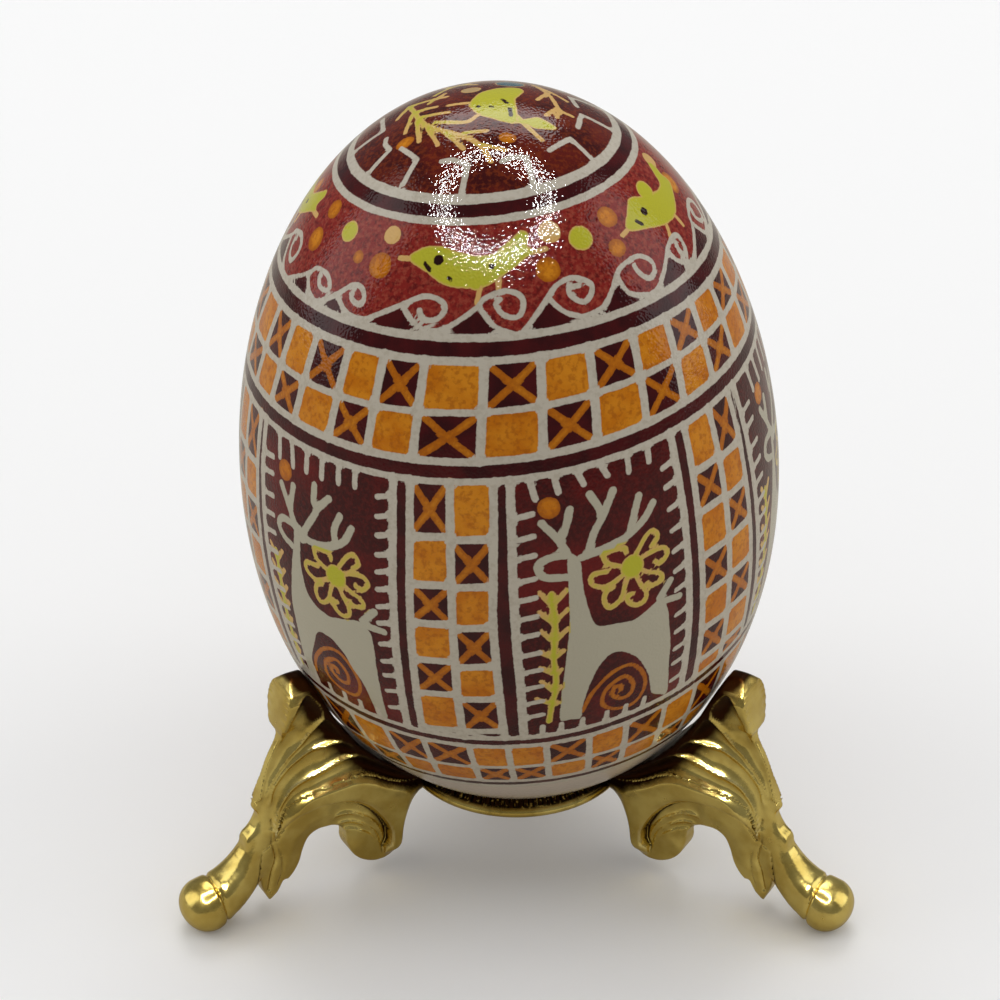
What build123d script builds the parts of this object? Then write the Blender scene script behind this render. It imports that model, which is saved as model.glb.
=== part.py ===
from build123d import *
from math import cos, radians, sin, sqrt
import os

# Painted egg resting in a cast brass stand with three scroll legs.
# Millimetres, +Z up, front towards -Y, origin on the floor under the middle of the whole object.

# Egg: a hen's egg, narrow end up, leaning a little to the left in its ring
egg_length = 61.0
egg_width = 43.25
egg_taper_share = 0.058
egg_fullness_share = 0.040
shell_wall = 0.38
egg_lean_angle = 3.2
blow_hole_radius = 1.1
plug_clearance = 0.04
plug_bead_height = 0.35

# Ring that the egg sits in
ring_outer_radius = 9.7
ring_wall = 2.4
ring_shoulder_width = 1.1
ring_seat_height = 8.45
ring_height = 1.55
ring_lip_height = 0.8
ring_lip_round = 0.25
seat_clearance = 0.06
rib_count = 72
rib_radius = 0.24
rib_rise = 0.13
rib_end_gap = 0.2

# Legs: three alike, one pointing straight back
leg_angles = {"leg_front_left": 210.0, "leg_front_right": 330.0, "leg_back": 90.0}
toe_reach = 31.7
toe_radius = 2.3
toe_flat_depth = 0.15
leg_height = 21.0
leg_plate_width = 3.4
leg_egg_clearance = 0.55
leg_tip_width = 2.1
strip_width = 1.7
strip_bevel_depth = 3.6
strip_share = 0.9
leg_seat_clearance = 0.03
tenon_length = 0.6
tenon_height = 0.4

# Volute: a boss with round terraces that go down into it on both flanks
volute_radius = 3.0
volute_boss_width = 4.4
volute_mouth_angle = 50
terrace_radii = [3.5, 2.9, 2.3]
terrace_drop = 0.15

# Convex scroll band over the arch: depth in the leg's plane and width across it
band_depths = [0.8, 1.1, 1.5, 1.9, 2.2, 2.5, 2.4, 1.8, 1.4, 0.9]
band_widths = [3.5, 3.9, 4.4, 4.7, 4.8, 4.8, 4.8, 4.6, 4.3, 3.9]

# Rolled knob at the top of each leg
knob_width = 4.2
knob_radius = 1.1
knob_edge_round = 0.45
knob_shares = [(0.6665, 0.9023), (0.6755, 0.857)]

# Stem that swells from the knee into the toe
stem_depths = [1.7, 2.6, 3.5, 4.0, 4.2]
stem_widths = [2.0, 3.0, 3.8, 4.1, 4.3]

# Outline points as shares of the toe's reach and of the leg's height
egg_edge_steps = 5
outer_edge_shares = [(0.662, 0.985), (0.690, 0.781), (0.729, 0.633), (0.760, 0.486)]
stem_side_shares = [(0.757, 0.385), (0.768, 0.262), (0.783, 0.165), (0.768, 0.095)]
leaf_notch_share = (0.742, 0.143)
leaf_tip_share = (0.712, 0.152)
arch_shares = [(0.690, 0.214), (0.671, 0.290), (0.645, 0.347), (0.608, 0.366), (0.572, 0.333)]
volute_centre_share = (0.476, 0.252)
throat_shares = [(0.397, 0.160), (0.374, 0.240), (0.342, 0.298)]

# Scroll band's centre line from the knee over the arch and down round the volute
band_shares = [
    (0.722, 0.410), (0.694, 0.483), (0.631, 0.512), (0.580, 0.512), (0.524, 0.483),
    (0.461, 0.429), (0.409, 0.343), (0.401, 0.248), (0.412, 0.171), (0.454, 0.131),
]
terrace_centre_share = (0.543, 0.219)

# Flutes: start at the egg's side, middle and end at the knee, with the width at each
flute_shares = [
    ((0.595, 0.965), (0.678, 0.752), (0.744, 0.610)),
    ((0.540, 0.815), (0.649, 0.719), (0.737, 0.560)),
    ((0.475, 0.690), (0.614, 0.664), (0.731, 0.490)),
    ((0.405, 0.565), (0.580, 0.596), (0.721, 0.455)),
]
flute_widths = [(2.5, 1.7, 0.5), (2.1, 1.2, 0.4), (2.3, 1.5, 0.4), (2.0, 1.2, 0.3)]

# Stem centre line from the knee to the toe
stem_path_shares = [(0.738, 0.520), (0.755, 0.360), (0.805, 0.215), (0.865, 0.140)]

egg_half = egg_length / 2
outline_steps = 16
slope_step = 0.001

# The ring's bore and seat follow from its rim, and its lip from the height of the seat
ring_bore_radius = ring_outer_radius - ring_wall
ring_seat_radius = ring_outer_radius - ring_shoulder_width
ring_lip_bottom = ring_seat_height - ring_height
ring_lip_top = ring_lip_bottom + ring_lip_height


def egg_radius_at(share):
    """Radius of the outer shell at a height given as a share of half the length, -1 to 1."""
    round_part = sqrt(max(0, 1 - share * share))
    return egg_width / 2 * round_part * (1 - egg_taper_share * share + egg_fullness_share * share * share)


def egg_share_at(radius):
    """Height share at which the lower half of the egg has this radius."""
    low, high = -1.0, -0.1
    for _ in range(60):
        middle = (low + high) / 2
        if egg_radius_at(middle) < radius:
            low = middle
        else:
            high = middle
    return low


def egg_slope_at(share):
    """How fast the radius grows with height there."""
    rise = egg_radius_at(share + slope_step) - egg_radius_at(share - slope_step)
    return rise / (2 * slope_step * egg_half)


# The egg's centre height follows from the ring, and it leans about the centre of its seat curve
seat_share = egg_share_at(ring_seat_radius)
upright_centre = ring_seat_height + seat_clearance - seat_share * egg_half
lean_centre = upright_centre + seat_share * egg_half + ring_seat_radius * egg_slope_at(seat_share)
egg_belly_radius = max(egg_radius_at(step / 100) for step in range(-40, 40))

# The stand's axis lies in front of the origin, which is under the middle of the whole object
stand_y = (egg_belly_radius - toe_reach) / 2
lean_arm = upright_centre - lean_centre
egg_axis = Vector(-sin(radians(egg_lean_angle)), 0, cos(radians(egg_lean_angle)))
egg_centre = Vector(0, stand_y, lean_centre) + egg_axis * lean_arm
egg_plane = Plane(origin=egg_centre, x_dir=(cos(radians(egg_lean_angle)), 0, sin(radians(egg_lean_angle))), z_dir=(0, -1, 0))
stand_axis = Axis((0, stand_y, 0), (0, 0, 1))
egg_turn_axis = Axis(egg_centre, egg_axis)


def egg_outline(wall):
    """Half outline of the egg, drawn a wall's thickness inside its skin."""
    length_share = (egg_half - wall) / egg_half
    width_share = (egg_width / 2 - wall) / (egg_width / 2)
    points = []
    for step in range(outline_steps + 1):
        share = -cos(radians(180 * step / outline_steps))
        points.append((egg_radius_at(share) * width_share, share * egg_half * length_share))
    return points


with BuildPart() as egg_shell:
    for wall, mode in ((0, Mode.ADD), (shell_wall, Mode.SUBTRACT)):
        with BuildSketch(egg_plane) as half_egg:
            with BuildLine():
                side = Spline(*egg_outline(wall))
                Line(side @ 1, side @ 0)
            make_face()
        revolve(axis=egg_turn_axis, mode=mode)
    with BuildSketch(Plane(origin=egg_centre, z_dir=egg_axis).offset(-egg_half - 2 * shell_wall)):
        Circle(blow_hole_radius)
    extrude(amount=egg_half / 2, mode=Mode.SUBTRACT)

egg_shell.part.label = "egg_shell"

# Wax plug that closes the blow hole, with a small bead inside the shell
plug_radius = blow_hole_radius - plug_clearance
with BuildPart() as hole_plug:
    with BuildSketch(Plane(origin=egg_centre, z_dir=egg_axis).offset(-egg_half)):
        Circle(plug_radius)
    extrude(amount=shell_wall + plug_bead_height)
    chamfer(hole_plug.edges().sort_by(Axis(egg_centre, egg_axis))[-1], plug_bead_height / 2)

hole_plug.part.label = "hole_plug"

# Ring: smooth lip below, a sloping milled band, and a seat that follows the egg
seat_inner_share = egg_share_at(ring_bore_radius)
seat_inner_height = upright_centre + seat_inner_share * egg_half - seat_clearance
ring_lip_radius = ring_outer_radius - ring_lip_round
with BuildPart() as cup_ring:
    with BuildSketch(Plane(origin=(0, stand_y, 0), x_dir=(1, 0, 0), z_dir=(0, -1, 0))):
        with BuildLine():
            Polyline(
                (ring_lip_radius, ring_lip_bottom),
                (ring_bore_radius, ring_lip_bottom),
                (ring_bore_radius, seat_inner_height),
                (ring_seat_radius, ring_seat_height),
                (ring_lip_radius, ring_lip_top),
            )
            ThreePointArc(
                (ring_lip_radius, ring_lip_top),
                (ring_outer_radius, (ring_lip_bottom + ring_lip_top) / 2),
                (ring_lip_radius, ring_lip_bottom),
            )
        make_face()
    revolve(axis=stand_axis)

    # Fine ribs that run down the sloping shoulder, all round
    shoulder_top = Vector(ring_seat_radius, stand_y, ring_seat_height)
    shoulder_foot = Vector(ring_lip_radius, stand_y, ring_lip_top)
    shoulder_run = shoulder_foot - shoulder_top
    down_shoulder = shoulder_run.normalized()
    out_of_shoulder = Vector(0, 1, 0).cross(down_shoulder)
    rib_start = shoulder_top + down_shoulder * rib_end_gap - out_of_shoulder * (rib_radius - rib_rise)
    with BuildSketch(Plane(origin=rib_start, z_dir=down_shoulder)):
        Circle(rib_radius)
    rib = extrude(amount=shoulder_run.length - 2 * rib_end_gap, mode=Mode.PRIVATE)
    add([rib.rotate(stand_axis, 360 * turn / rib_count) for turn in range(rib_count)])

cup_ring.part.label = "cup_ring"


# The leg's edge under the egg runs from the ring's rim to the knob
egg_edge_start = ring_outer_radius
egg_edge_end = toe_reach * outer_edge_shares[0][0] - leg_tip_width


def leg_point(share):
    """Point in a leg's own plane from its shares of the reach and the height."""
    return (toe_reach * share[0], leg_height * share[1])


def egg_edge_points():
    """The leg's edge that faces the egg, from the ring's rim to the knob."""
    points = []
    for step in range(egg_edge_steps + 1):
        reach = egg_edge_start + (egg_edge_end - egg_edge_start) * step / egg_edge_steps
        share = egg_share_at(reach)
        slope = egg_slope_at(share)
        away = leg_egg_clearance / sqrt(1 + slope * slope)
        points.append((reach + away, upright_centre + share * egg_half - away * slope))
    return points


def leg_plate_outline():
    """Outline of the flat casting: knob, knee, leaf tips, arch, volute, throat and egg side."""
    inner = egg_edge_points()
    tip = leg_point(stem_side_shares[-1])
    volute = leg_point(volute_centre_share)
    arch_end = leg_point(arch_shares[-1])
    rim = ring_outer_radius + leg_seat_clearance
    ledge = ring_lip_bottom - leg_seat_clearance
    volute_bottom = (volute[0], volute[1] - volute_radius)
    Spline(*[leg_point(share) for share in outer_edge_shares])
    Spline(leg_point(outer_edge_shares[-1]), *[leg_point(share) for share in stem_side_shares])
    Line(tip, leg_point(leaf_notch_share))
    Line(leg_point(leaf_notch_share), leg_point(leaf_tip_share))
    Spline(leg_point(leaf_tip_share), *[leg_point(share) for share in arch_shares])
    mouth = (volute[0] + volute_radius * cos(radians(volute_mouth_angle)),
             volute[1] - volute_radius * sin(radians(volute_mouth_angle)))
    ThreePointArc(arch_end, mouth, volute_bottom)
    Spline(volute_bottom, *[leg_point(share) for share in throat_shares],
           (rim - tenon_length, ledge - tenon_height), tangents=[(-1, 0), (-1, 1)])
    Polyline((rim - tenon_length, ledge - tenon_height), (rim - tenon_length, ledge), (rim, ledge), inner[0])
    Spline(*inner)
    Line(inner[-1], leg_point(outer_edge_shares[0]))


def build_knob(side):
    """Rolled end of the outer strip, wider than the strip, with softened ends."""
    with BuildPart() as knob:
        with BuildSketch(side):
            SlotCenterPoint(*[leg_point(share) for share in knob_shares], 2 * knob_radius)
        extrude(amount=knob_width / 2, both=True)
        fillet(knob.edges(), knob_edge_round)
    return knob.part


def build_leg():
    """One cast scroll leg, drawn pointing along +X from the stand's axis."""
    side = Plane(origin=(0, stand_y, 0), x_dir=(1, 0, 0), z_dir=(0, -1, 0))
    toe_centre = (toe_reach - toe_radius, toe_radius - toe_flat_depth)
    knob_part = build_knob(side)
    with BuildPart() as leg:
        with BuildSketch(side):
            with BuildLine():
                leg_plate_outline()
            make_face()
        extrude(amount=leg_plate_width / 2, both=True)

        # Both flanks slope in to the narrow strip along the outer edge
        strip_top = side.from_local_coords(Vector(*leg_point(outer_edge_shares[0])))
        strip_foot = side.from_local_coords(Vector(*leg_point(outer_edge_shares[-1])))
        strip_run = strip_foot - strip_top
        strip_plane = Plane(origin=strip_top - strip_run / 4, x_dir=side.z_dir, z_dir=strip_run)
        full, thin = leg_plate_width / 2, strip_width / 2
        with BuildSketch(strip_plane):
            for flank in (-1, 1):
                Polygon(
                    (flank * thin, -leg_tip_width),
                    (flank * thin, 0),
                    (flank * full, strip_bevel_depth),
                    (flank * 2 * full, strip_bevel_depth),
                    (flank * 2 * full, -leg_tip_width),
                    align=None,
                )
        extrude(amount=strip_run.length * strip_share, mode=Mode.SUBTRACT)

        # Hollow flutes on both flanks, narrowing towards the knee
        for flank in (-1, 1):
            flank_plane = side.offset(flank * leg_plate_width / 2)
            for points, widths in zip(flute_shares, flute_widths):
                with BuildLine(flank_plane) as flute_path:
                    ThreePointArc(*[leg_point(share) for share in points])
                for station, width in zip((0, 0.5, 1), widths):
                    with BuildSketch(Plane(origin=flute_path.line @ station, z_dir=flute_path.line % station)):
                        Circle(width / 2)
                loft(mode=Mode.SUBTRACT)

        # Boss of the volute with its terraces
        with BuildSketch(side):
            with Locations(leg_point(volute_centre_share)):
                Circle(volute_radius)
        extrude(amount=volute_boss_width / 2, both=True)
        for flank in (-1, 1):
            for drop, radius in enumerate(terrace_radii, 1):
                with BuildSketch(side.offset(flank * (volute_boss_width / 2 - drop * terrace_drop))):
                    with Locations(leg_point(terrace_centre_share)):
                        Circle(radius)
                extrude(amount=flank * volute_boss_width, mode=Mode.SUBTRACT)

        # Scroll band
        with BuildLine(side):
            band_line = Spline(*[leg_point(share) for share in band_shares])
        for share, depth, width in zip(band_shares, band_depths, band_widths):
            spot = side.from_local_coords(Vector(*leg_point(share)))
            with BuildSketch(Plane(origin=spot, x_dir=side.z_dir, z_dir=band_line.tangent_at(spot))):
                Ellipse(width / 2, depth / 2)
        loft()
        add(knob_part)

        # Stem that swells into the toe
        with BuildLine(side) as stem_line:
            Spline(*[leg_point(share) for share in stem_path_shares], toe_centre)
        for station, (depth, width) in enumerate(zip(stem_depths, stem_widths)):
            spot = station / (len(stem_depths) - 1)
            with BuildSketch(Plane(origin=stem_line.line @ spot, x_dir=side.z_dir, z_dir=stem_line.line % spot)):
                Ellipse(width / 2, depth / 2)
        loft()
        with Locations(side.from_local_coords(Vector(*toe_centre, 0))):
            Sphere(toe_radius)

        # Flat sole where the toe meets the floor
        split(bisect_by=Plane.XY, keep=Keep.TOP)
    return leg.part


os.makedirs("parts", exist_ok=True)
export_step(egg_shell.part, "parts/egg_shell.step")
export_step(hole_plug.part, "parts/hole_plug.step")
export_step(cup_ring.part, "parts/cup_ring.step")
leg_pattern = build_leg()
for name, angle in leg_angles.items():
    leg_part = leg_pattern.rotate(stand_axis, angle)
    leg_part.label = name
    export_step(leg_part, f"parts/{name}.step")
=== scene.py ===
import math

import bpy
import numpy as np
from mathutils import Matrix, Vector, kdtree


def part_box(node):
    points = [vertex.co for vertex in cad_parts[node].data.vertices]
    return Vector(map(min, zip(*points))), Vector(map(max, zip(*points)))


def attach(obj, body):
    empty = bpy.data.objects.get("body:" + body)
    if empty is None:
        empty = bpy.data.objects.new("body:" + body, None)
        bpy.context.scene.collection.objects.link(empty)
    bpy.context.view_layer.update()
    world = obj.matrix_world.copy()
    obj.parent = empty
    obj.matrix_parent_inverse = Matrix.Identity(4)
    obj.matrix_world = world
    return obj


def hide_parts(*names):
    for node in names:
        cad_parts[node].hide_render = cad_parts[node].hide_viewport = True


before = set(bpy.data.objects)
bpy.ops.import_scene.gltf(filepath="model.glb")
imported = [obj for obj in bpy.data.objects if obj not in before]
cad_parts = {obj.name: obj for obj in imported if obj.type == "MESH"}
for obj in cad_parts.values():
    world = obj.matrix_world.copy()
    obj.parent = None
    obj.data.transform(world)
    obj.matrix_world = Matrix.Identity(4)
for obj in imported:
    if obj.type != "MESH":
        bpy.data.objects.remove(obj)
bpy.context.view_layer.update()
print("frame loaded:", ", ".join(sorted(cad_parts)))

mm = 0.001  # the drawing is in millimetres, the scene in metres
farAway = 9.0  # an edge distance well outside any mark, in millimetres


# colours and nodes

def paintColour(screen):
    # a screen colour of 0 to 255 as the linear colour that the shader wants
    tones = [value / 255.0 for value in screen]
    linear = [t / 12.92 if t <= 0.04045 else ((t + 0.055) / 1.055) ** 2.4 for t in tones]
    return (*linear, 1.0)


def paintColours(named):
    return {name: paintColour(screen) for name, screen in named.items()}


def addNode(tree, kind, place=(0, 0), feeds=None, **settings):
    # a node with its settings, and each named or numbered input linked or set
    node = tree.nodes.new(kind)
    node.location = place
    for name, value in settings.items():
        setattr(node, name, value)
    for name, value in (feeds or {}).items():
        socket = node.inputs[name]
        if isinstance(value, bpy.types.NodeSocket):
            tree.links.new(value, socket)
        else:
            socket.default_value = value
    return node


def doMath(tree, operation, first, second=0.0, third=0.0, place=(0, 0)):
    feeds = {0: first, 1: second, 2: third}
    return addNode(tree, "ShaderNodeMath", place, feeds, operation=operation).outputs[0]


def times(tree, first, second, place=(0, 0)):
    return doMath(tree, "MULTIPLY", first, second, place=place)


def plus(tree, first, second, place=(0, 0)):
    return doMath(tree, "ADD", first, second, place=place)


def doVector(tree, operation, first, second=None, place=(0, 0)):
    feeds = {0: first} if second is None else {0: first, 1: second}
    return addNode(tree, "ShaderNodeVectorMath", place, feeds, operation=operation).outputs[0]


def doScale(tree, vector, scale, place=(0, 0)):
    feeds = {0: vector, 3: scale}
    return addNode(tree, "ShaderNodeVectorMath", place, feeds, operation="SCALE").outputs[0]


def mixColour(tree, share, first, second, place=(0, 0)):
    feeds = {0: share, 6: first, 7: second}
    return addNode(tree, "ShaderNodeMix", place, feeds, data_type="RGBA").outputs[2]


def rampValue(tree, value, low, high, fromSide=0.0, toSide=1.0, place=(0, 0)):
    # an eased step from one side to the other as the value goes from low to high
    feeds = {"Value": value, "From Min": low, "From Max": high, "To Min": fromSide, "To Max": toSide}
    node = addNode(tree, "ShaderNodeMapRange", place, feeds, interpolation_type="SMOOTHSTEP")
    return node.outputs["Result"]


def readMark(tree, name, place=(0, 0)):
    return addNode(tree, "ShaderNodeAttribute", place, attribute_name=name).outputs["Fac"]


def startMaterial(name):
    material = bpy.data.materials.new(name)
    material.use_nodes = True
    tree = material.node_tree
    tree.nodes.clear()
    finish = addNode(tree, "ShaderNodeBsdfPrincipled", (900, 0))
    output = addNode(tree, "ShaderNodeOutputMaterial", (1200, 0))
    tree.links.new(finish.outputs[0], output.inputs["Surface"])
    return material, tree, finish


def makeGrainGroup():
    # grain of a size in millimetres, as a value round zero, for edges, dye and metal alike
    group = bpy.data.node_groups.new("fineGrain", "ShaderNodeTree")
    face = group.interface
    for name, value in {"Size": 1.0, "Amount": 1.0, "Detail": 2.0, "Shift": 0.0}.items():
        face.new_socket(name, in_out="INPUT", socket_type="NodeSocketFloat").default_value = value
    face.new_socket("Value", in_out="OUTPUT", socket_type="NodeSocketFloat")
    entry = addNode(group, "NodeGroupInput", (-900, 0))
    place = addNode(group, "ShaderNodeTexCoord", (-900, -200)).outputs["Object"]
    inMillimetres = doScale(group, place, 1.0 / mm, (-700, -200))
    moved = doVector(group, "ADD", inMillimetres, entry.outputs["Shift"], (-500, -200))
    frequency = doMath(group, "DIVIDE", 1.0, entry.outputs["Size"], place=(-700, 0))
    feeds = {"Vector": moved, "Scale": frequency, "Detail": entry.outputs["Detail"], "Roughness": 0.55}
    noise = addNode(group, "ShaderNodeTexNoise", (-300, 0), feeds)
    centred = doMath(group, "SUBTRACT", noise.outputs[0], 0.5, place=(-100, 0))
    doubled = times(group, centred, 2.0, (50, 0))
    value = times(group, doubled, entry.outputs["Amount"], (200, 0))
    leave = addNode(group, "NodeGroupOutput", (400, 0))
    group.links.new(value, leave.inputs["Value"])
    return group


fineGrain = makeGrainGroup()


def grain(tree, size, amount=1.0, detail=2.0, shift=0.0, place=(0, 0)):
    node = addNode(tree, "ShaderNodeGroup", place)
    node.node_tree = fineGrain
    for name, value in {"Size": size, "Amount": amount, "Detail": detail, "Shift": shift}.items():
        node.inputs[name].default_value = value
    return node.outputs["Value"]


def grainShare(tree, size, low, high, detail=2.0, shift=0.0, place=(0, 0), fromSide=0.0, toSide=1.0):
    # an eased step from one side to the other as the grain goes from low to high
    value = grain(tree, size, 1.0, detail, shift, place)
    return rampValue(tree, value, low, high, fromSide, toSide, (place[0] + 200, place[1]))


def addRelief(tree, finish, height, depth):
    # fine relief on the finish, of a depth in millimetres
    feeds = {"Strength": 1.0, "Distance": depth * mm, "Height": height}
    bump = addNode(tree, "ShaderNodeBump", (450, -600), feeds)
    tree.links.new(bump.outputs[0], finish.inputs["Normal"])


def addNumbers(mesh, name, values):
    layer = mesh.attributes.new(name, "FLOAT", "POINT")
    layer.data.foreach_set("value", np.asarray(values, dtype=np.float32))


def plainMesh(source, name):
    # the evaluated object's mesh as an object of its own, and the source removed
    source.data.update()
    graph = bpy.context.evaluated_depsgraph_get()
    mesh = bpy.data.meshes.new_from_object(source.evaluated_get(graph), depsgraph=graph)
    mesh.name = name
    made = bpy.data.objects.new(name, mesh)
    bpy.context.scene.collection.objects.link(made)
    held = source.data
    bpy.data.objects.remove(source)
    if held.users == 0:
        bpy.data.meshes.remove(held)
    return made


def easeStep(value):
    value = np.clip(value, 0.0, 1.0)
    return value * value * (3.0 - 2.0 * value)


def easeFrom(value, start, length):
    # eased from 0 to 1 as the value goes on from the start by the length, or back if that is below 0
    return easeStep((value - start) / length)


# the egg's shape

eggSizes = {
    "length": 61.0,
    "width": 43.25,
    "taper": 0.058,  # how much slimmer the upper half is
    "fullness": 0.040,  # how much wider than a plain ellipse towards both ends
    "leanAngle": 3.2,  # degrees, to the left in the photograph
    "cellsAcross": 120,
    "cellsAlong": 140,
    "wellRadius": 1.1,  # the waxed blow hole at the lower pole
    "wellDepth": 0.34,
    "wellEase": 0.3,
}


def makeEggTree():
    tree = bpy.data.node_groups.new("eggShellShape", "GeometryNodeTree")
    face = tree.interface
    names = ["Length", "Width", "Taper", "Fullness", "Lean", "Well Radius", "Well Depth", "Well Ease"]
    for name in names:
        face.new_socket(name, in_out="INPUT", socket_type="NodeSocketFloat")
    for name in ["Cells Across", "Cells Along"]:
        face.new_socket(name, in_out="INPUT", socket_type="NodeSocketInt")
    face.new_socket("Material", in_out="INPUT", socket_type="NodeSocketMaterial")
    face.new_socket("Geometry", in_out="OUTPUT", socket_type="NodeSocketGeometry")
    entry = addNode(tree, "NodeGroupInput", (-2000, 0)).outputs
    across = plus(tree, entry["Cells Across"], 1.0, (-1800, 200))
    along = plus(tree, entry["Cells Along"], 1.0, (-1800, 100))
    feeds = {"Size": (2.0, 2.0, 2.0), "Vertices X": across, "Vertices Y": across, "Vertices Z": along}
    cube = addNode(tree, "GeometryNodeMeshCube", (-1600, 200), feeds).outputs["Mesh"]
    # a cube whose cells keep nearly one size when it is blown up to a ball
    corner = addNode(tree, "GeometryNodeInputPosition", (-1800, -200)).outputs[0]
    quarter = doScale(tree, corner, math.pi / 4, (-1600, -200))
    even = doVector(tree, "TANGENT", quarter, place=(-1400, -200))
    blown = doVector(tree, "NORMALIZE", even, place=(-1200, -200))
    ball = addNode(tree, "ShaderNodeSeparateXYZ", (-1000, -200), {0: blown}).outputs
    # slimmer towards one end and fuller towards both
    up = ball["Z"]
    slimmer = times(tree, entry["Taper"], -1.0, (-1000, 0))
    slope = doMath(tree, "MULTIPLY_ADD", up, slimmer, 1.0, (-800, 0))
    bulge = times(tree, times(tree, up, up, (-800, -400)), entry["Fullness"], (-600, -400))
    girth = plus(tree, slope, bulge, (-600, 0))
    radius = times(tree, times(tree, entry["Width"], 0.5, (-600, 200)), girth, (-400, 100))
    x = times(tree, ball["X"], radius, (-200, 100))
    y = times(tree, ball["Y"], radius, (-200, 0))
    z = times(tree, up, times(tree, entry["Length"], 0.5, (-400, -200)), (-200, -200))
    # the well of the blow hole
    squares = plus(tree, times(tree, x, x, (0, 300)), times(tree, y, y, (0, 200)), (150, 250))
    out = doMath(tree, "SQRT", squares, place=(300, 250))
    rim = plus(tree, entry["Well Radius"], entry["Well Ease"], (150, 400))
    sunk = rampValue(tree, out, entry["Well Radius"], rim, entry["Well Depth"], 0.0, (450, 300))
    lower = times(tree, sunk, doMath(tree, "LESS_THAN", up, 0.0, place=(450, 0)), (600, 200))
    height = plus(tree, z, lower, (700, 0))
    upright = addNode(tree, "ShaderNodeCombineXYZ", (800, 0), {0: x, 1: y, 2: height}).outputs[0]
    toLeft = times(tree, entry["Lean"], -1.0, (800, 200))
    feeds = {"Vector": upright, "Axis": (0.0, 1.0, 0.0), "Angle": toLeft}
    leant = addNode(tree, "ShaderNodeVectorRotate", (1000, 0), feeds, rotation_type="AXIS_ANGLE").outputs[0]
    formed = addNode(tree, "GeometryNodeSetPosition", (1200, 0), {"Geometry": cube, "Position": leant}).outputs[0]
    soft = addNode(tree, "GeometryNodeSetShadeSmooth", (1400, 0), {"Geometry": formed}).outputs[0]
    real = addNode(tree, "GeometryNodeRealizeInstances", (1600, 0), {"Geometry": soft}).outputs[0]
    feeds = {"Geometry": real, "Material": entry["Material"]}
    finished = addNode(tree, "GeometryNodeSetMaterial", (1800, 0), feeds).outputs[0]
    leave = addNode(tree, "NodeGroupOutput", (2000, 0))
    tree.links.new(finished, leave.inputs["Geometry"])
    return tree


def runTree(tree, name, values):
    # an empty mesh with the tree's modifier, its inputs set, turned into a plain mesh
    holder = bpy.data.objects.new(name + "_source", bpy.data.meshes.new(name + "_source"))
    bpy.context.scene.collection.objects.link(holder)
    modifier = holder.modifiers.new(tree.name, "NODES")
    modifier.node_group = tree
    for item in tree.interface.items_tree:
        if item.item_type == "SOCKET" and item.in_out == "INPUT" and item.name in values:
            modifier[item.identifier] = values[item.name]
    return plainMesh(holder, name)


def eggGirth(share):
    # the shell's radius in millimetres at a share of its half length
    inside = np.clip(share, -1.0, 1.0)
    curve = 1.0 - eggSizes["taper"] * inside + eggSizes["fullness"] * inside ** 2
    return eggSizes["width"] / 2 * np.sqrt(np.maximum(0.0, 1.0 - inside ** 2)) * curve


def makeEggMesh(material):
    values = {
        "Length": eggSizes["length"] * mm,
        "Width": eggSizes["width"] * mm,
        "Taper": eggSizes["taper"],
        "Fullness": eggSizes["fullness"],
        "Lean": math.radians(eggSizes["leanAngle"]),
        "Well Radius": eggSizes["wellRadius"] * mm,
        "Well Depth": eggSizes["wellDepth"] * mm,
        "Well Ease": eggSizes["wellEase"] * mm,
        "Cells Across": eggSizes["cellsAcross"],
        "Cells Along": eggSizes["cellsAlong"],
        "Material": material,
    }
    egg = runTree(makeEggTree(), "painted_egg", values)
    # the leaning egg's box lies where the CAD shell's does
    places = np.empty(len(egg.data.vertices) * 3)
    egg.data.vertices.foreach_get("co", places)
    places = places.reshape(-1, 3)
    low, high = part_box("egg_shell")
    middle = (np.array(low) + np.array(high)) / 2
    centre = middle - (places.min(0) + places.max(0)) / 2
    around = places / mm
    egg.data.vertices.foreach_set("co", (places + centre).ravel())
    egg.data.update()
    return egg, around, centre


# the egg's drawing: every mark is a line or a patch in turn (degrees, 0 in front, to the right) and
# height (a share of the half length from the middle), or in millimetres on the cap seen from above

drawing = {
    "lean": 5.0,  # degrees, the drawing's own axis
    "step": 0.08,  # millimetres between the points along a line
    # widths of the lines, in millimetres
    "wideLine": 0.8,
    "line": 0.6,
    "thinLine": 0.52,
    "footLines": (0.45, 0.54),
    "checkLine": 0.7,
    "crossLine": 0.56,
    "stripLines": (0.68, 0.64, 0.66, 0.64, 0.68),
    "rowLine": 0.66,
    "topTick": 0.5,
    "tick": 0.46,
    "antlerLine": 0.62,
    "stemLine": 0.5,
    "twigLine": 0.42,
    "petalLine": 0.42,
    "spiralLine": 0.36,
    "curlLine": 0.4,
    "featherLine": 0.4,
    "featherMark": 0.32,
    "capTick": 0.44,
    "capStem": 0.42,
    "capTwig": 0.38,
    "capSprig": 0.36,
    "capMark": 0.34,
    # radii of dots, in millimetres
    "flowerHeart": 1.0,
    "panelDot": 0.86,
    # heights from the middle of a double line to its two lines
    "shoulderGap": 0.0245,
    "waistAbove": 0.025,
    "waistBelow": 0.023,
    "footGap": 0.0175,
    "leastRow": 0.03,  # the least height of a strip's last row
    "rowRise": 0.003,  # from the left to the right end of a line between rows
    # a panel's ticks: degrees that they reach to the right, and the rise at their start and end
    "leftTicks": (4.4, -0.004, 0.003),
    "rightTicks": (-3.5, 0.006, -0.004),
    "bottomTicks": (0.3, 0.0, 0.037),
}

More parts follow.
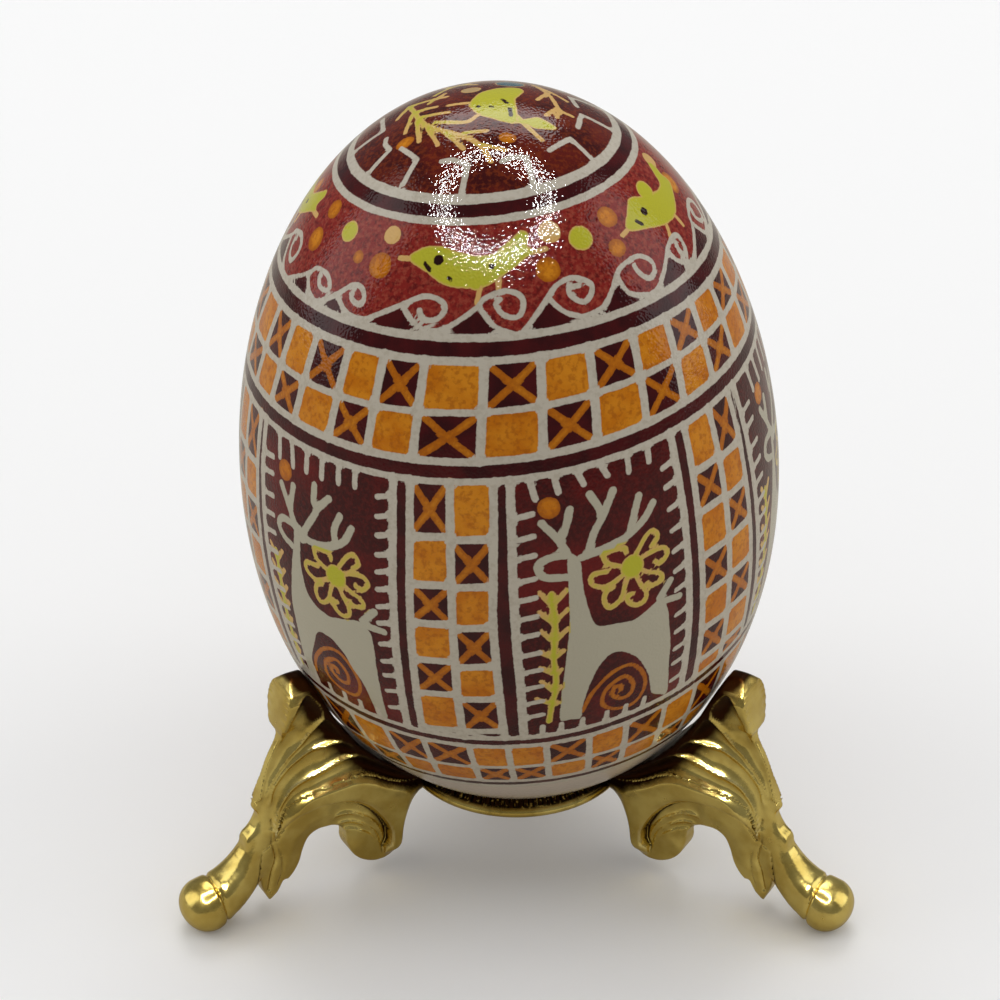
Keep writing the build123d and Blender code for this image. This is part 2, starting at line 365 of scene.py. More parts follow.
layerNames = ["white", "paint", "orange", "dark"]
lines = {name: {} for name in layerNames}  # by half width, a list of (points, tones)
patches = {name: [] for name in layerNames}
deerTone, leafTone, petalTone, tanTone, blueTone = 0.0, 1.0, 1.4, 2.0, 3.0


def throughPoints(points, closed=False, smooth=True, perDegree=1.0, perShare=1.0):
    # points along a line, a small step apart: a smooth curve through those given, or straight runs
    given = np.array(points, dtype=float)
    if closed:
        given = np.vstack([given, given[:1]])
    scale = np.array([perDegree, perShare])
    if closed:
        before, after = given[-2:-1], given[1:2]
    else:
        before, after = 2 * given[:1] - given[1:2], 2 * given[-1:] - given[-2:-1]
    padded = np.vstack([before, given, after])
    made = []
    for index in range(len(given) - 1):
        a, b, c, d = padded[index:index + 4]
        count = max(2, int(np.hypot(*((c - b) * scale)) / drawing["step"]) + 1)
        t = np.linspace(0.0, 1.0, count, endpoint=False)[:, None]
        if smooth:
            curve = 2 * b + (c - a) * t + (2 * a - 5 * b + 4 * c - d) * t ** 2 + (3 * b - a - 3 * c + d) * t ** 3
            made.append(curve / 2)
        else:
            made.append(b + (c - b) * t)
    if not closed:
        made.append(given[-1:])
    return np.vstack(made)


def turnAboutY(places, degrees):
    angle = math.radians(degrees)
    x, y, z = places.T
    return np.stack([math.cos(angle) * x + math.sin(angle) * z, y, math.cos(angle) * z - math.sin(angle) * x], axis=1)


def onShell(turns, heights):
    # where a turn and height of the drawing lie on the leaning shell, round its middle
    angle = np.radians(turns)
    up = np.asarray(heights) * eggSizes["length"] / 2
    radius = eggGirth(np.asarray(heights))
    for _ in range(12):
        flat = np.stack([radius * np.sin(angle), -radius * np.cos(angle), up], axis=1)
        own = turnAboutY(flat, eggSizes["leanAngle"] - drawing["lean"])
        share = own[:, 2] / (eggSizes["length"] / 2)
        radius = radius * eggGirth(share) / np.maximum(np.hypot(own[:, 0], own[:, 1]), 1e-6)
    flat = np.stack([radius * np.sin(angle), -radius * np.cos(angle), up], axis=1)
    return turnAboutY(flat, -drawing["lean"])


def onCap(x, y):
    # where a point of the cap, seen along the drawing's axis, lies on the shell
    low, high = np.full(len(x), 0.3), np.full(len(x), 1.02)
    for _ in range(30):
        middle = (low + high) / 2
        flat = np.stack([x, y, middle * eggSizes["length"] / 2], axis=1)
        own = turnAboutY(flat, eggSizes["leanAngle"] - drawing["lean"])
        share = own[:, 2] / (eggSizes["length"] / 2)
        inside = (share < 1.0) & (np.hypot(own[:, 0], own[:, 1]) < eggGirth(share))
        low, high = np.where(inside, middle, low), np.where(inside, high, middle)
    return turnAboutY(np.stack([x, y, low * eggSizes["length"] / 2], axis=1), -drawing["lean"])


def along(points, cap, closed, smooth):
    # the line's points in its own flat measures, and on the shell
    if cap:
        flat = throughPoints(points, closed, smooth)
        return flat, onCap(flat[:, 0], flat[:, 1])
    girth = float(eggGirth(np.mean([p[1] for p in points])))
    flat = throughPoints(points, closed, smooth, math.radians(girth), eggSizes["length"] / 2)
    return flat, onShell(flat[:, 0], flat[:, 1])


def addLine(layer, points, width, tone=leafTone, endTone=None, cap=False, smooth=True):
    _, places = along(points, cap, False, smooth)
    tones = np.linspace(tone, tone if endTone is None else endTone, len(places))
    lines[layer].setdefault(round(width / 2, 3), []).append((places, tones))


def addPatch(layer, points, tone=leafTone, cap=False, smooth=True):
    outline, places = along(points, cap, True, smooth)
    patches[layer].append({"outline": outline, "places": places, "tone": tone, "cap": cap})


def addDot(layer, turn, height, radius, tone=leafTone):
    perTurn = math.radians(float(eggGirth(height)))
    ends = onShell(np.array([turn, turn]), np.array([height - 0.01, height + 0.01]))
    perHeight = float(np.linalg.norm(ends[1] - ends[0])) / 0.02
    ring = [
        (turn + radius * math.cos(a) / perTurn, height + radius * math.sin(a) / perHeight)
        for a in np.linspace(0.0, 2 * math.pi, 12, endpoint=False)
    ]
    addPatch(layer, ring, tone)


def shifted(points, turn):
    return [(a + turn, h) for a, h in points]


# the bands that go all the way round: height at each turn

def wave(turn):
    return np.cos(np.radians(turn)) ** 2


def footWave(turn):
    # the foot line dips in front, and from the sides round the back
    fromFront = np.abs((turn + 180.0) % 360.0 - 180.0)
    return np.maximum(wave(turn), easeFrom(fromFront, 66.0, 40.0))


bandHeights = {
    "capInner": lambda turn: 0.878,
    "capOuter": lambda turn: 0.841,
    "shoulder": lambda turn: 0.592 - 0.015 * np.sin(np.radians(turn)),
    "checkMiddle": lambda turn: 0.462 - 0.012 * wave(turn) + 0.006,
    "waist": lambda turn: 0.348 - 0.031 * wave(turn),
    "foot": lambda turn: -0.425 - 0.068 * footWave(turn),
    "footMiddle": lambda turn: -0.605,
    "footLower": lambda turn: -0.681,
    "footPale": lambda turn: -0.712,
}


def bandEdge(name, offset=0.0):
    # the height of a band at a turn, as a function
    return lambda turn: bandHeights[name](turn) + offset


def bandLine(name, offset=0.0):
    height = bandEdge(name, offset)
    return [(turn, height(turn)) for turn in range(-180, 181, 3)]


shoulderTop = bandEdge("shoulder", drawing["shoulderGap"])
panelTop = bandEdge("waist", -drawing["waistBelow"])
panelBottom = bandEdge("foot", drawing["footGap"])


def drawBands():
    addLine("white", bandLine("capInner"), drawing["wideLine"])
    addLine("white", bandLine("capOuter"), drawing["line"])
    for offset in (drawing["shoulderGap"], -drawing["shoulderGap"]):
        addLine("white", bandLine("shoulder", offset), drawing["line"])
    addLine("white", bandLine("checkMiddle"), drawing["thinLine"])
    addLine("white", bandLine("waist", drawing["waistAbove"]), drawing["line"])
    addLine("white", bandLine("waist", -drawing["waistBelow"]), drawing["thinLine"])
    for offset in (drawing["footGap"], -drawing["footGap"]):
        addLine("white", bandLine("foot", offset), drawing["thinLine"])
    for name, width in zip(("footMiddle", "footLower"), drawing["footLines"]):
        addLine("white", bandLine(name), width)
    addLine("white", bandLine("footPale"), drawing["line"])


# the two chequered bands

upperColumns = [-59.8, -49.6, -38.3, -28.0, -17.2, -2.7, 10.6, 22.6, 34.5, 45.2, 55.5]
upperColumns += [66.0 + 11.22 * step for step in range(21)]
lowerColumns = [-24.2, -13.2, -4.3, 4.6, 14.8, 24.0, 34.3]
lowerColumns += [43.8 + 10.07 * step for step in range(29)]


def addCell(corners, solid):
    # an orange square, or an orange cross whose arms reach the square's corners
    if solid:
        addPatch("orange", corners, smooth=False)
    else:
        for corner, opposite in zip(corners[:2], corners[2:]):
            addLine("orange", [corner, opposite], drawing["crossLine"], smooth=False)


def drawChecks(columns, edges, solids, columnAt, width):
    # a chequered band's upright lines, and its squares in rows between the edges
    for turn, nextTurn, solid in zip(columns, columns[1:] + [columns[0] + 360.0], solids):
        addLine("white", [(columnAt(turn, edge(turn)), edge(turn)) for edge in edges], width)
        for upper, lower in zip(edges[:-1], edges[1:]):
            corners = [(turn, upper), (nextTurn, upper), (nextTurn, lower), (turn, lower)]
            addCell([(columnAt(t, edge(t)), edge(t)) for t, edge in corners], solid)
            solid = not solid


def drawUpperChecks():
    def columnAt(turn, height):
        # the columns lean to the right
        return turn + np.interp(height, [0.355, 0.567], [-0.7, 2.0])

    top = bandEdge("shoulder", -drawing["shoulderGap"])
    bottom = bandEdge("waist", drawing["waistAbove"])
    solids = [index % 2 == 0 for index in range(len(upperColumns))]
    drawChecks(upperColumns, [top, bandEdge("checkMiddle"), bottom], solids, columnAt, drawing["checkLine"])


def drawLowerChecks():
    def columnAt(turn, height):
        # the front columns spread towards the foot
        spreadShare = 0.05 * np.interp(height, [-0.68, -0.53], [1.0, 0.0])
        return turn * (1.0 + spreadShare * (abs(turn) < 60.0))

    edges = [bandEdge("foot", -drawing["footGap"]), bandEdge("footMiddle"), bandEdge("footLower")]
    solids = [False, True, True, False, True]  # as seen in front, and by turns round the back
    solids += [step % 2 == 1 for step in range(len(lowerColumns) - len(solids))]
    drawChecks(lowerColumns, edges, solids, columnAt, drawing["thinLine"])


# the upright strips between the panels: five white lines as (height, turn), and the rows

frontStrip = {
    "lines": [
        [(0.30, -22.3), (0.15, -22.7), (0.0, -23.6), (-0.30, -25.5), (-0.49, -27.2)],
        [(0.30, -18.4), (0.15, -19.0), (0.0, -20.0), (-0.30, -21.9), (-0.49, -23.5)],
        [(0.30, -9.9), (0.085, -10.9), (-0.10, -11.8), (-0.30, -12.9), (-0.49, -13.9)],
        [(0.30, -0.9), (0.24, -1.2), (0.06, -2.6), (-0.09, -3.7), (-0.22, -4.0), (-0.49, -4.5)],
        [(0.30, 2.5), (0.146, 1.7), (0.007, 1.0), (-0.143, 0.5), (-0.28, 0.4), (-0.49, -0.2)],
    ],
    "rows": [
        [0.153, 0.022, -0.09, -0.204, -0.316, -0.447],
        [0.147, 0.019, -0.099, -0.219, -0.328, -0.447],
    ],
    "firstSolid": [False, True],
}
sideStrip = {
    "lines": [
        [(0.32, 38.8), (-0.10, 38.6), (-0.45, 38.2)],
        [(0.32, 42.8), (0.0, 42.2), (-0.45, 42.4)],
        [(0.32, 50.8), (-0.45, 50.9)],
        [(0.32, 58.5), (0.0, 58.9), (-0.20, 59.6), (-0.45, 60.4)],
        [(0.32, 61.3), (0.0, 62.2), (-0.20, 63.2), (-0.45, 64.0)],
    ],
    "rows": [
        [0.18, 0.07, -0.055, -0.17, -0.28, -0.387],
        [0.176, 0.064, -0.05, -0.164, -0.274, -0.381],
    ],
    "firstSolid": [True, False],
}
stripPlaces = [
    (frontStrip, 0.0), (sideStrip, 0.0), (sideStrip, 61.2),
    (sideStrip, 122.2), (sideStrip, 179.8), (sideStrip, 237.2),
]
stripEnds = (0.3, -0.45)  # heights near which a strip meets the panels' top and bottom


def stripLine(strip, number, shift):
    # the turn of one of a strip's lines at a height, as a function
    heights, turns = zip(*reversed(strip["lines"][number]))
    return lambda height: float(np.interp(height, heights, turns)) + shift


def drawStrips():
    high, low = stripEnds
    for strip, shift in stripPlaces:
        edges = [stripLine(strip, number, shift) for number in range(len(strip["lines"]))]
        for edge, width in zip(edges, drawing["stripLines"]):
            heights = np.linspace(panelTop(edge(high)), panelBottom(edge(low)), 9)
            addLine("white", [(edge(h), h) for h in heights], width)
        for left, right, inner, solid in zip(edges[1:], edges[2:], strip["rows"], strip["firstSolid"]):
            rows = [panelTop(left(high)), *inner]
            last = panelBottom(left(low))
            if inner[-1] > last + drawing["leastRow"]:
                rows.append(last)
            for upper, lower in zip(rows[:-1], rows[1:]):
                corners = [(left, upper), (right, upper), (right, lower), (left, lower)]
                addCell([(edge(h), h) for edge, h in corners], solid)
                if lower != last:
                    rise = drawing["rowRise"]
                    addLine("white", [(left(lower), lower), (right(lower), lower + rise)], drawing["rowLine"])
                solid = not solid


# the deer panels

rightDeer = {
    "middle": 19.9,
    "topTicks": [
        (6.4, 7.2, 0.24), (11.4, 12.0, 0.248), (16.2, 17.4, 0.255), (21.3, 22.7, 0.261), (27.7, 27.5, 0.254),
        (32.7, 32.4, 0.26),
    ],
    "leftTicks": [0.20, 0.143, 0.093, 0.030, -0.023, -0.077, -0.129, -0.187, -0.241, -0.295, -0.347, -0.396],
    "rightTicks": [0.234, 0.183, 0.124, 0.065, 0.008, -0.05, -0.106, -0.182, -0.235, -0.291, -0.34, -0.40],
    "bottomTicks": [3.9, 8.1, 12.9, 18.5, 23.0, 27.6],
    "dot": (9.7, 0.213),
    "antlers": [
        [(12.4, 0.085), (10.9, 0.126), (7.9, 0.177)],
        [(11.8, 0.135), (12.8, 0.162), (13.9, 0.20)],
        [(16.2, 0.07), (18.1, 0.124), (20.6, 0.167), (23.3, 0.22)],
        [(20.2, 0.168), (19.7, 0.192), (18.3, 0.227)],
        [(14.9, 0.069), (20.4, 0.080), (25.0, 0.093), (28.9, 0.121), (31.7, 0.155)],
        [(25.7, 0.102), (27.1, 0.142), (28.7, 0.186)],
        [(12.4, 0.083), (9.1, 0.084), (6.8, 0.074), (6.2, 0.057), (7.4, 0.033), (12.1, 0.023)],
        [(31.0, -0.112), (33.8, -0.073)],
        [(31.4, -0.125), (35.8, -0.131)],
    ],
    "body": [
        (12.4, 0.083), (11.9, -0.014), (11.4, -0.113), (10.2, -0.217), (8.8, -0.329), (8.1, -0.421),
        (10.4, -0.427), (12.7, -0.429), (13.1, -0.392), (14.0, -0.345), (15.2, -0.307), (16.3, -0.277),
        (17.9, -0.248), (19.8, -0.231), (22.5, -0.237), (25.6, -0.272), (27.8, -0.324), (28.9, -0.372),
        (29.6, -0.414), (32.0, -0.436), (34.1, -0.441), (33.6, -0.352), (33.6, -0.27), (33.3, -0.207),
        (32.7, -0.145), (31.5, -0.112), (27.8, -0.135), (25.0, -0.148), (21.2, -0.142), (17.4, -0.135),
        (16.2, -0.113), (15.1, -0.048), (14.8, 0.007), (14.6, 0.065),
    ],
    "flower": (25.4, 0.007),
    "petals": [
        [(26.4, 0.037), (29.2, 0.077), (30.9, 0.084), (31.7, 0.061), (30.1, 0.045)],
        [(28.7, 0.027), (32.4, 0.029), (33.7, 0.008), (31.7, -0.012), (30.5, -0.001)],
        [(28.4, -0.021), (31.5, -0.041), (31.7, -0.062), (29.3, -0.065), (28.5, -0.054)],
        [
            (26.6, -0.043), (28.0, -0.079), (27.5, -0.102), (25.5, -0.106), (23.9, -0.088), (23.8, -0.07),
            (24.9, -0.07),
        ],
        [(23.6, -0.034), (22.3, -0.074), (19.9, -0.09), (18.8, -0.066), (19.5, -0.038), (21.0, -0.034)],
        [(21.9, -0.017), (18.9, -0.026), (16.5, -0.008), (17.0, 0.015), (19.9, 0.015)],
        [(22.9, 0.018), (20.1, 0.038), (19.6, 0.064), (21.1, 0.068), (24.0, 0.066), (24.4, 0.05)],
    ],
    "spiral": [
        (13.1, -0.405), (15.5, -0.345), (19.7, -0.296), (24.0, -0.287), (27.0, -0.331), (27.6, -0.384),
        (25.3, -0.428), (21.1, -0.429), (17.9, -0.403), (17.8, -0.364), (19.5, -0.334), (22.7, -0.320),
        (24.7, -0.354), (24.1, -0.390), (21.7, -0.394), (19.9, -0.373), (20.3, -0.350), (21.8, -0.350),
        (21.9, -0.366),
    ],
    "stem": [(8.4, -0.015), (8.5, -0.106), (7.7, -0.211), (7.7, -0.296), (6.4, -0.372), (5.7, -0.422)],
    "leftTwigs": [
        (6.1, -0.008), (5.7, -0.064), (5.7, -0.12), (5.1, -0.183), (4.8, -0.232), (4.7, -0.277), (3.5, -0.335),
    ],
    "rightTwigs": [
        (11.4, -0.012), (11.3, -0.067), (11.0, -0.123), (9.8, -0.188), (9.0, -0.247), (8.7, -0.304),
        (8.3, -0.358),
    ],
    "twigRoots": [
        (8.3, -0.05), (8.2, -0.1), (8.0, -0.157), (7.9, -0.206), (7.7, -0.261), (7.4, -0.319), (6.7, -0.36),
    ],
}
leftDeer = dict(rightDeer)
leftDeer.update({
    "middle": -42.3,
    "topTicks": [
        (-54.9, -54.2, 0.25), (-50.2, -49.3, 0.247), (-44.9, -44.9, 0.25), (-40.3, -40.3, 0.25),
        (-35.7, -35.7, 0.252), (-31.4, -31.4, 0.254),
    ],
    "leftTicks": [0.235, 0.19, 0.13, 0.077, 0.026, -0.03, -0.084, -0.14, -0.194, -0.25, -0.304, -0.36, -0.408],
    "rightTicks": [
        0.245, 0.194, 0.144, 0.091, 0.044, -0.006, -0.057, -0.107, -0.172, -0.229, -0.276, -0.331, -0.392,
    ],
    "bottomTicks": [-56.6, -52.6, -48.0, -43.4, -38.8, -34.0],
    "dot": (-52.0, 0.225),
    "antlers": [
        [(-47.6, 0.07), (-48.0, 0.085), (-50.2, 0.132), (-53.1, 0.184)],
        [(-49.9, 0.129), (-49.0, 0.195)],
        [(-46.4, 0.06), (-45.6, 0.087), (-41.7, 0.159), (-42.5, 0.179), (-42.3, 0.225)],
        [(-41.7, 0.163), (-38.1, 0.204)],
        [(-46.7, 0.072), (-43.1, 0.066), (-39.1, 0.073), (-36.3, 0.085), (-34.0, 0.107), (-32.4, 0.142)],
        [(-36.8, 0.086), (-36.8, 0.126), (-35.3, 0.167)],
        [(-47.5, 0.088), (-52.5, 0.092), (-54.3, 0.068), (-52.8, 0.042), (-49.9, 0.027)],
        [(-31.8, -0.118), (-28.5, -0.08)],
        [(-31.6, -0.128), (-27.0, -0.135)],
    ],
    "body": [
        (-48.6, 0.085), (-49.3, 0.03), (-49.9, 0.003), (-51.3, -0.07), (-52.7, -0.147), (-53.3, -0.25),
        (-54.6, -0.345), (-55.4, -0.424), (-51.9, -0.424), (-51.6, -0.38), (-51.2, -0.336), (-49.7, -0.298),
        (-47.9, -0.261), (-46.5, -0.228), (-44.8, -0.207), (-42.6, -0.208), (-40.9, -0.217), (-38.5, -0.248),
        (-37.3, -0.285), (-35.4, -0.334), (-34.6, -0.397), (-34.4, -0.445), (-32.1, -0.449), (-31.4, -0.39),
        (-30.9, -0.322), (-30.5, -0.258), (-30.1, -0.19), (-30.4, -0.148), (-32.5, -0.121), (-35.4, -0.126),
        (-40.2, -0.138), (-42.5, -0.132), (-45.0, -0.116), (-46.7, -0.083), (-47.4, -0.01), (-47.1, 0.056),
    ],
    "flower": (-37.2, -0.005),
})


def spread(points, fromMiddle, toMiddle, share=1.0, rise=0.0):
    # the same motif round another middle
    return [((turn - fromMiddle) * share + toMiddle, height + rise) for turn, height in points]


flowerMove = (rightDeer["flower"][0], leftDeer["flower"][0], 0.96, -0.012)
leftDeer["petals"] = [spread(petal, *flowerMove) for petal in rightDeer["petals"]]
leftDeer["spiral"] = spread(rightDeer["spiral"], 21.3, -42.9, 1.0, 0.036)
leftDeer["stem"] = [
    (-56.4, -0.02), (-56.2, -0.106), (-56.6, -0.211), (-56.8, -0.296), (-57.6, -0.372), (-58.0, -0.415),
]
leftDeer["twigRoots"] = [
    (-56.3, -0.05), (-56.3, -0.1), (-56.5, -0.157), (-56.7, -0.206), (-56.8, -0.261), (-57.0, -0.319),
    (-57.5, -0.36),
]
leftDeer["leftTwigs"] = [
    (-58.5, -0.008), (-58.6, -0.064), (-58.8, -0.12), (-59.0, -0.17), (-59.2, -0.225), (-59.4, -0.277),
    (-59.8, -0.33),
]
leftDeer["rightTwigs"] = [
    (-53.9, -0.012), (-53.9, -0.067), (-54.0, -0.118), (-54.4, -0.168), (-54.8, -0.222), (-55.2, -0.28),
    (-55.9, -0.33),
]
panelPlaces = [
    (rightDeer, 0.0), (leftDeer, 0.0), (leftDeer, 123.9), (rightDeer, 122.9), (leftDeer, 245.8), (rightDeer, 244.2),
]


def panelSides(middle):
    # the white lines either side of the panel whose middle is given
    borders = []
    for strip, shift in stripPlaces:
        for number in (0, 4):
            edge = stripLine(strip, number, shift)
            away = (edge(0.0) - middle + 180.0) % 360.0 - 180.0
            borders.append((away, number, edge, middle + away - edge(0.0)))
    left = max(b for b in borders if b[0] < 0.0)
    right = min(b for b in borders if b[0] > 0.0)
    return (lambda h: left[2](h) + left[3]), (lambda h: right[2](h) + right[3])


def drawPanel(deer, shift):
    left, right = panelSides(deer["middle"] + shift)
    for base, tip, height in deer["topTicks"]:
        foot = base + shift
        addLine("white", [(foot, panelTop(foot)), (tip + shift, height)], drawing["topTick"])
    ticks = [("leftTicks", left(height), height) for height in deer["leftTicks"]]
    ticks += [("rightTicks", right(height), height) for height in deer["rightTicks"]]
    ticks += [("bottomTicks", turn + shift, panelBottom(turn + shift)) for turn in deer["bottomTicks"]]
    for side, turn, height in ticks:
        reach, startRise, endRise = drawing[side]
        addLine("white", [(turn, height + startRise), (turn + reach, height + endRise)], drawing["tick"])
    for antler in deer["antlers"]:
        addLine("paint", shifted(antler, shift), drawing["antlerLine"], deerTone)
    addPatch("paint", shifted(deer["body"], shift), deerTone)
    turn, height = deer["flower"]
    addDot("paint", turn + shift, height, drawing["flowerHeart"], leafTone)
    for petal in deer["petals"]:
        addLine("paint", shifted(petal, shift), drawing["petalLine"], petalTone)
        # a short line from half way to the flower's heart
        root = (turn + (petal[0][0] - turn) * 0.5, height + (petal[0][1] - height) * 0.5)
        addLine("paint", shifted([root, petal[0]], shift), drawing["petalLine"], leafTone, tanTone)
    addLine("orange", shifted(deer["spiral"], shift), drawing["spiralLine"])
    addDot("orange", deer["dot"][0] + shift, deer["dot"][1], drawing["panelDot"])
    addLine("paint", shifted(deer["stem"], shift), drawing["stemLine"], leafTone)
    for tips in (deer["leftTwigs"], deer["rightTwigs"]):
        for tip, root in zip(tips, deer["twigRoots"]):
            addLine("paint", shifted([root, tip], shift), drawing["twigLine"], leafTone, tanTone)


# the red shoulder band: curling waves, birds and dots

waveCurls = [  # a rising line that curls in, and the line under it
    (
        [
            (-33.0, 0.638), (-22.9, 0.680), (-16.3, 0.701), (-11.3, 0.692), (-10.6, 0.672), (-13.4, 0.654),
            (-16.8, 0.658), (-17.4, 0.672),
        ],
        [(-22.0, 0.673), (-19.3, 0.650), (-16.2, 0.634)],
    ),
    (
        [
            (-16.2, 0.634), (-10.9, 0.636), (-1.9, 0.678), (0.2, 0.695), (5.9, 0.707), (10.0, 0.695),
            (10.6, 0.674), (8.6, 0.652), (5.1, 0.660), (3.3, 0.681), (4.6, 0.692),
        ],
        [(-0.5, 0.671), (2.7, 0.637), (7.4, 0.617)],
    ),
    (
        [
            (7.4, 0.617), (9.5, 0.622), (17.5, 0.681), (21.4, 0.703), (26.3, 0.706), (30.1, 0.685),
            (29.0, 0.663), (26.3, 0.654), (23.7, 0.674), (23.8, 0.690), (26.7, 0.689),
        ],
        [(17.7, 0.677), (20.5, 0.647), (25.1, 0.625)],
    ),
    (
        [
            (25.1, 0.625), (31.8, 0.634), (38.3, 0.682), (41.4, 0.695), (47.8, 0.698), (51.2, 0.673),
            (49.8, 0.650), (47.2, 0.648), (45.3, 0.670), (45.0, 0.685),
        ],
        [(38.4, 0.673), (40.0, 0.637), (45.5, 0.615)],
    ),
    (
        [
            (45.5, 0.615), (49.9, 0.622), (59.4, 0.676), (65.9, 0.685), (66.5, 0.658), (64.8, 0.640),
            (63.0, 0.653), (63.8, 0.674),
        ],
        [(58.6, 0.672), (60.5, 0.640), (65.5, 0.618)],
    ),
    (
        [
            (-69.0, 0.638), (-59.8, 0.679), (-56.6, 0.698), (-51.2, 0.697), (-48.3, 0.677), (-49.9, 0.666),
            (-52.8, 0.670), (-54.3, 0.686),
        ],
        [(-59.8, 0.679), (-56.6, 0.648), (-52.5, 0.636)],
    ),
    (
        [
            (-52.5, 0.636), (-49.3, 0.646), (-44.7, 0.670), (-39.9, 0.698), (-36.4, 0.696), (-34.9, 0.676),
            (-36.2, 0.663), (-39.3, 0.673), (-39.3, 0.688),
        ],
        [(-44.7, 0.670), (-40.5, 0.644), (-36.4, 0.636), (-33.0, 0.638)],
    ),
]
birds = [
    {
        "outline": [
            (-23.1, 0.770), (-20.0, 0.789), (-13.4, 0.798), (-5.6, 0.785), (2.8, 0.779), (6.5, 0.789),
            (12.4, 0.810), (14.7, 0.816), (16.6, 0.806), (15.4, 0.785), (19.8, 0.772), (15.1, 0.767),
            (9.0, 0.746), (-0.6, 0.714), (-4.1, 0.717), (-10.8, 0.724), (-16.5, 0.747),
        ],
        "strokes": [
            [(-0.6, 0.716), (-1.8, 0.688)], [(4.9, 0.733), (4.5, 0.710)], [(-23.1, 0.770), (-26.0, 0.769)],
            [(15.4, 0.772), (20.6, 0.774)],
        ],
        "eye": (-13.2, 0.771, 0.4),
        "marks": [
            [(-17.5, 0.765), (-15.6, 0.752)], [(-9.6, 0.738), (-9.0, 0.735)], [(3.0, 0.757), (3.5, 0.7565)],
        ],
    },
    {
        "outline": [
            (49.0, 0.752), (52.6, 0.779), (58.1, 0.799), (64.0, 0.786), (70.5, 0.774), (77.0, 0.772),
            (79.6, 0.790), (83.0, 0.812), (85.6, 0.805), (83.8, 0.775), (84.6, 0.752), (78.0, 0.728),
            (72.2, 0.711), (66.5, 0.712), (61.6, 0.720), (55.5, 0.735),
        ],
        "strokes": [
            [(64.9, 0.714), (62.8, 0.685)], [(71.5, 0.713), (72.0, 0.684)], [(49.0, 0.752), (46.6, 0.748)],
        ],
        "eye": (59.9, 0.763, 0.36),
        "marks": [[(54.4, 0.757), (55.8, 0.746)]],
    },
]
birdPlaces = [(0, 0.0), (1, 0.0), (1, 70.0), (0, 205.0), (0, 267.0)]  # which bird, and the turn added
backCurls = {"first": 78.5, "apart": 20.0, "count": 11}  # degrees
dotShifts = (0.0, 117.0, 224.0)
dotKinds = {"orange": ("orange", leafTone), "tan": ("paint", tanTone), "leaf": ("paint", leafTone)}
shoulderDots = [  # colour, turn, height and radius
    ("orange", -32.4, 0.748, 0.98), ("tan", -31.1, 0.807, 0.72), ("leaf", -49.7, 0.790, 0.86),
    ("orange", -64.1, 0.808, 0.8), ("orange", -64.6, 0.742, 0.95), ("orange", 19.5, 0.734, 0.92),
    ("tan", 23.5, 0.802, 0.86), ("leaf", 32.7, 0.775, 0.95), ("orange", 45.2, 0.791, 0.84),
    ("orange", 42.6, 0.731, 0.72), ("orange", -41.5, 0.752, 0.5),
]


def drawWaves():
    # the curls that the photograph shows, and the second one over and over round the back
    shapes = list(waveCurls)
    shoulder = bandHeights["shoulder"]
    for step in range(backCurls["count"]):
        turn = backCurls["first"] + backCurls["apart"] * step
        rise = shoulder(turn) - shoulder(0.0)
        shapes.append([[(a + turn, h + rise) for a, h in part] for part in waveCurls[1]])
    for shape in shapes:
        for part in shape:
            addLine("white", part, drawing["curlLine"])
    return shapes


def drawShoulder():
    for number, shift in birdPlaces:
        bird = birds[number]
        addPatch("paint", shifted(bird["outline"], shift), leafTone)
        for stroke in bird["strokes"]:
            addLine("paint", shifted(stroke, shift), drawing["featherLine"], tanTone)
        turn, height, radius = bird["eye"]
        addDot("dark", turn + shift, height, radius)
        for mark in bird["marks"]:
            addLine("dark", shifted(mark, shift), drawing["featherMark"])
    for shift in dotShifts:
        for kind, turn, height, radius in shoulderDots:
            birdThere = shift == dotShifts[1] and turn < -60.0
            if not birdThere:
                layer, tone = dotKinds[kind]
                addDot(layer, turn + shift, height, radius, tone)


# the cap, drawn in millimetres as seen along the drawing's axis: to the right, and to the back

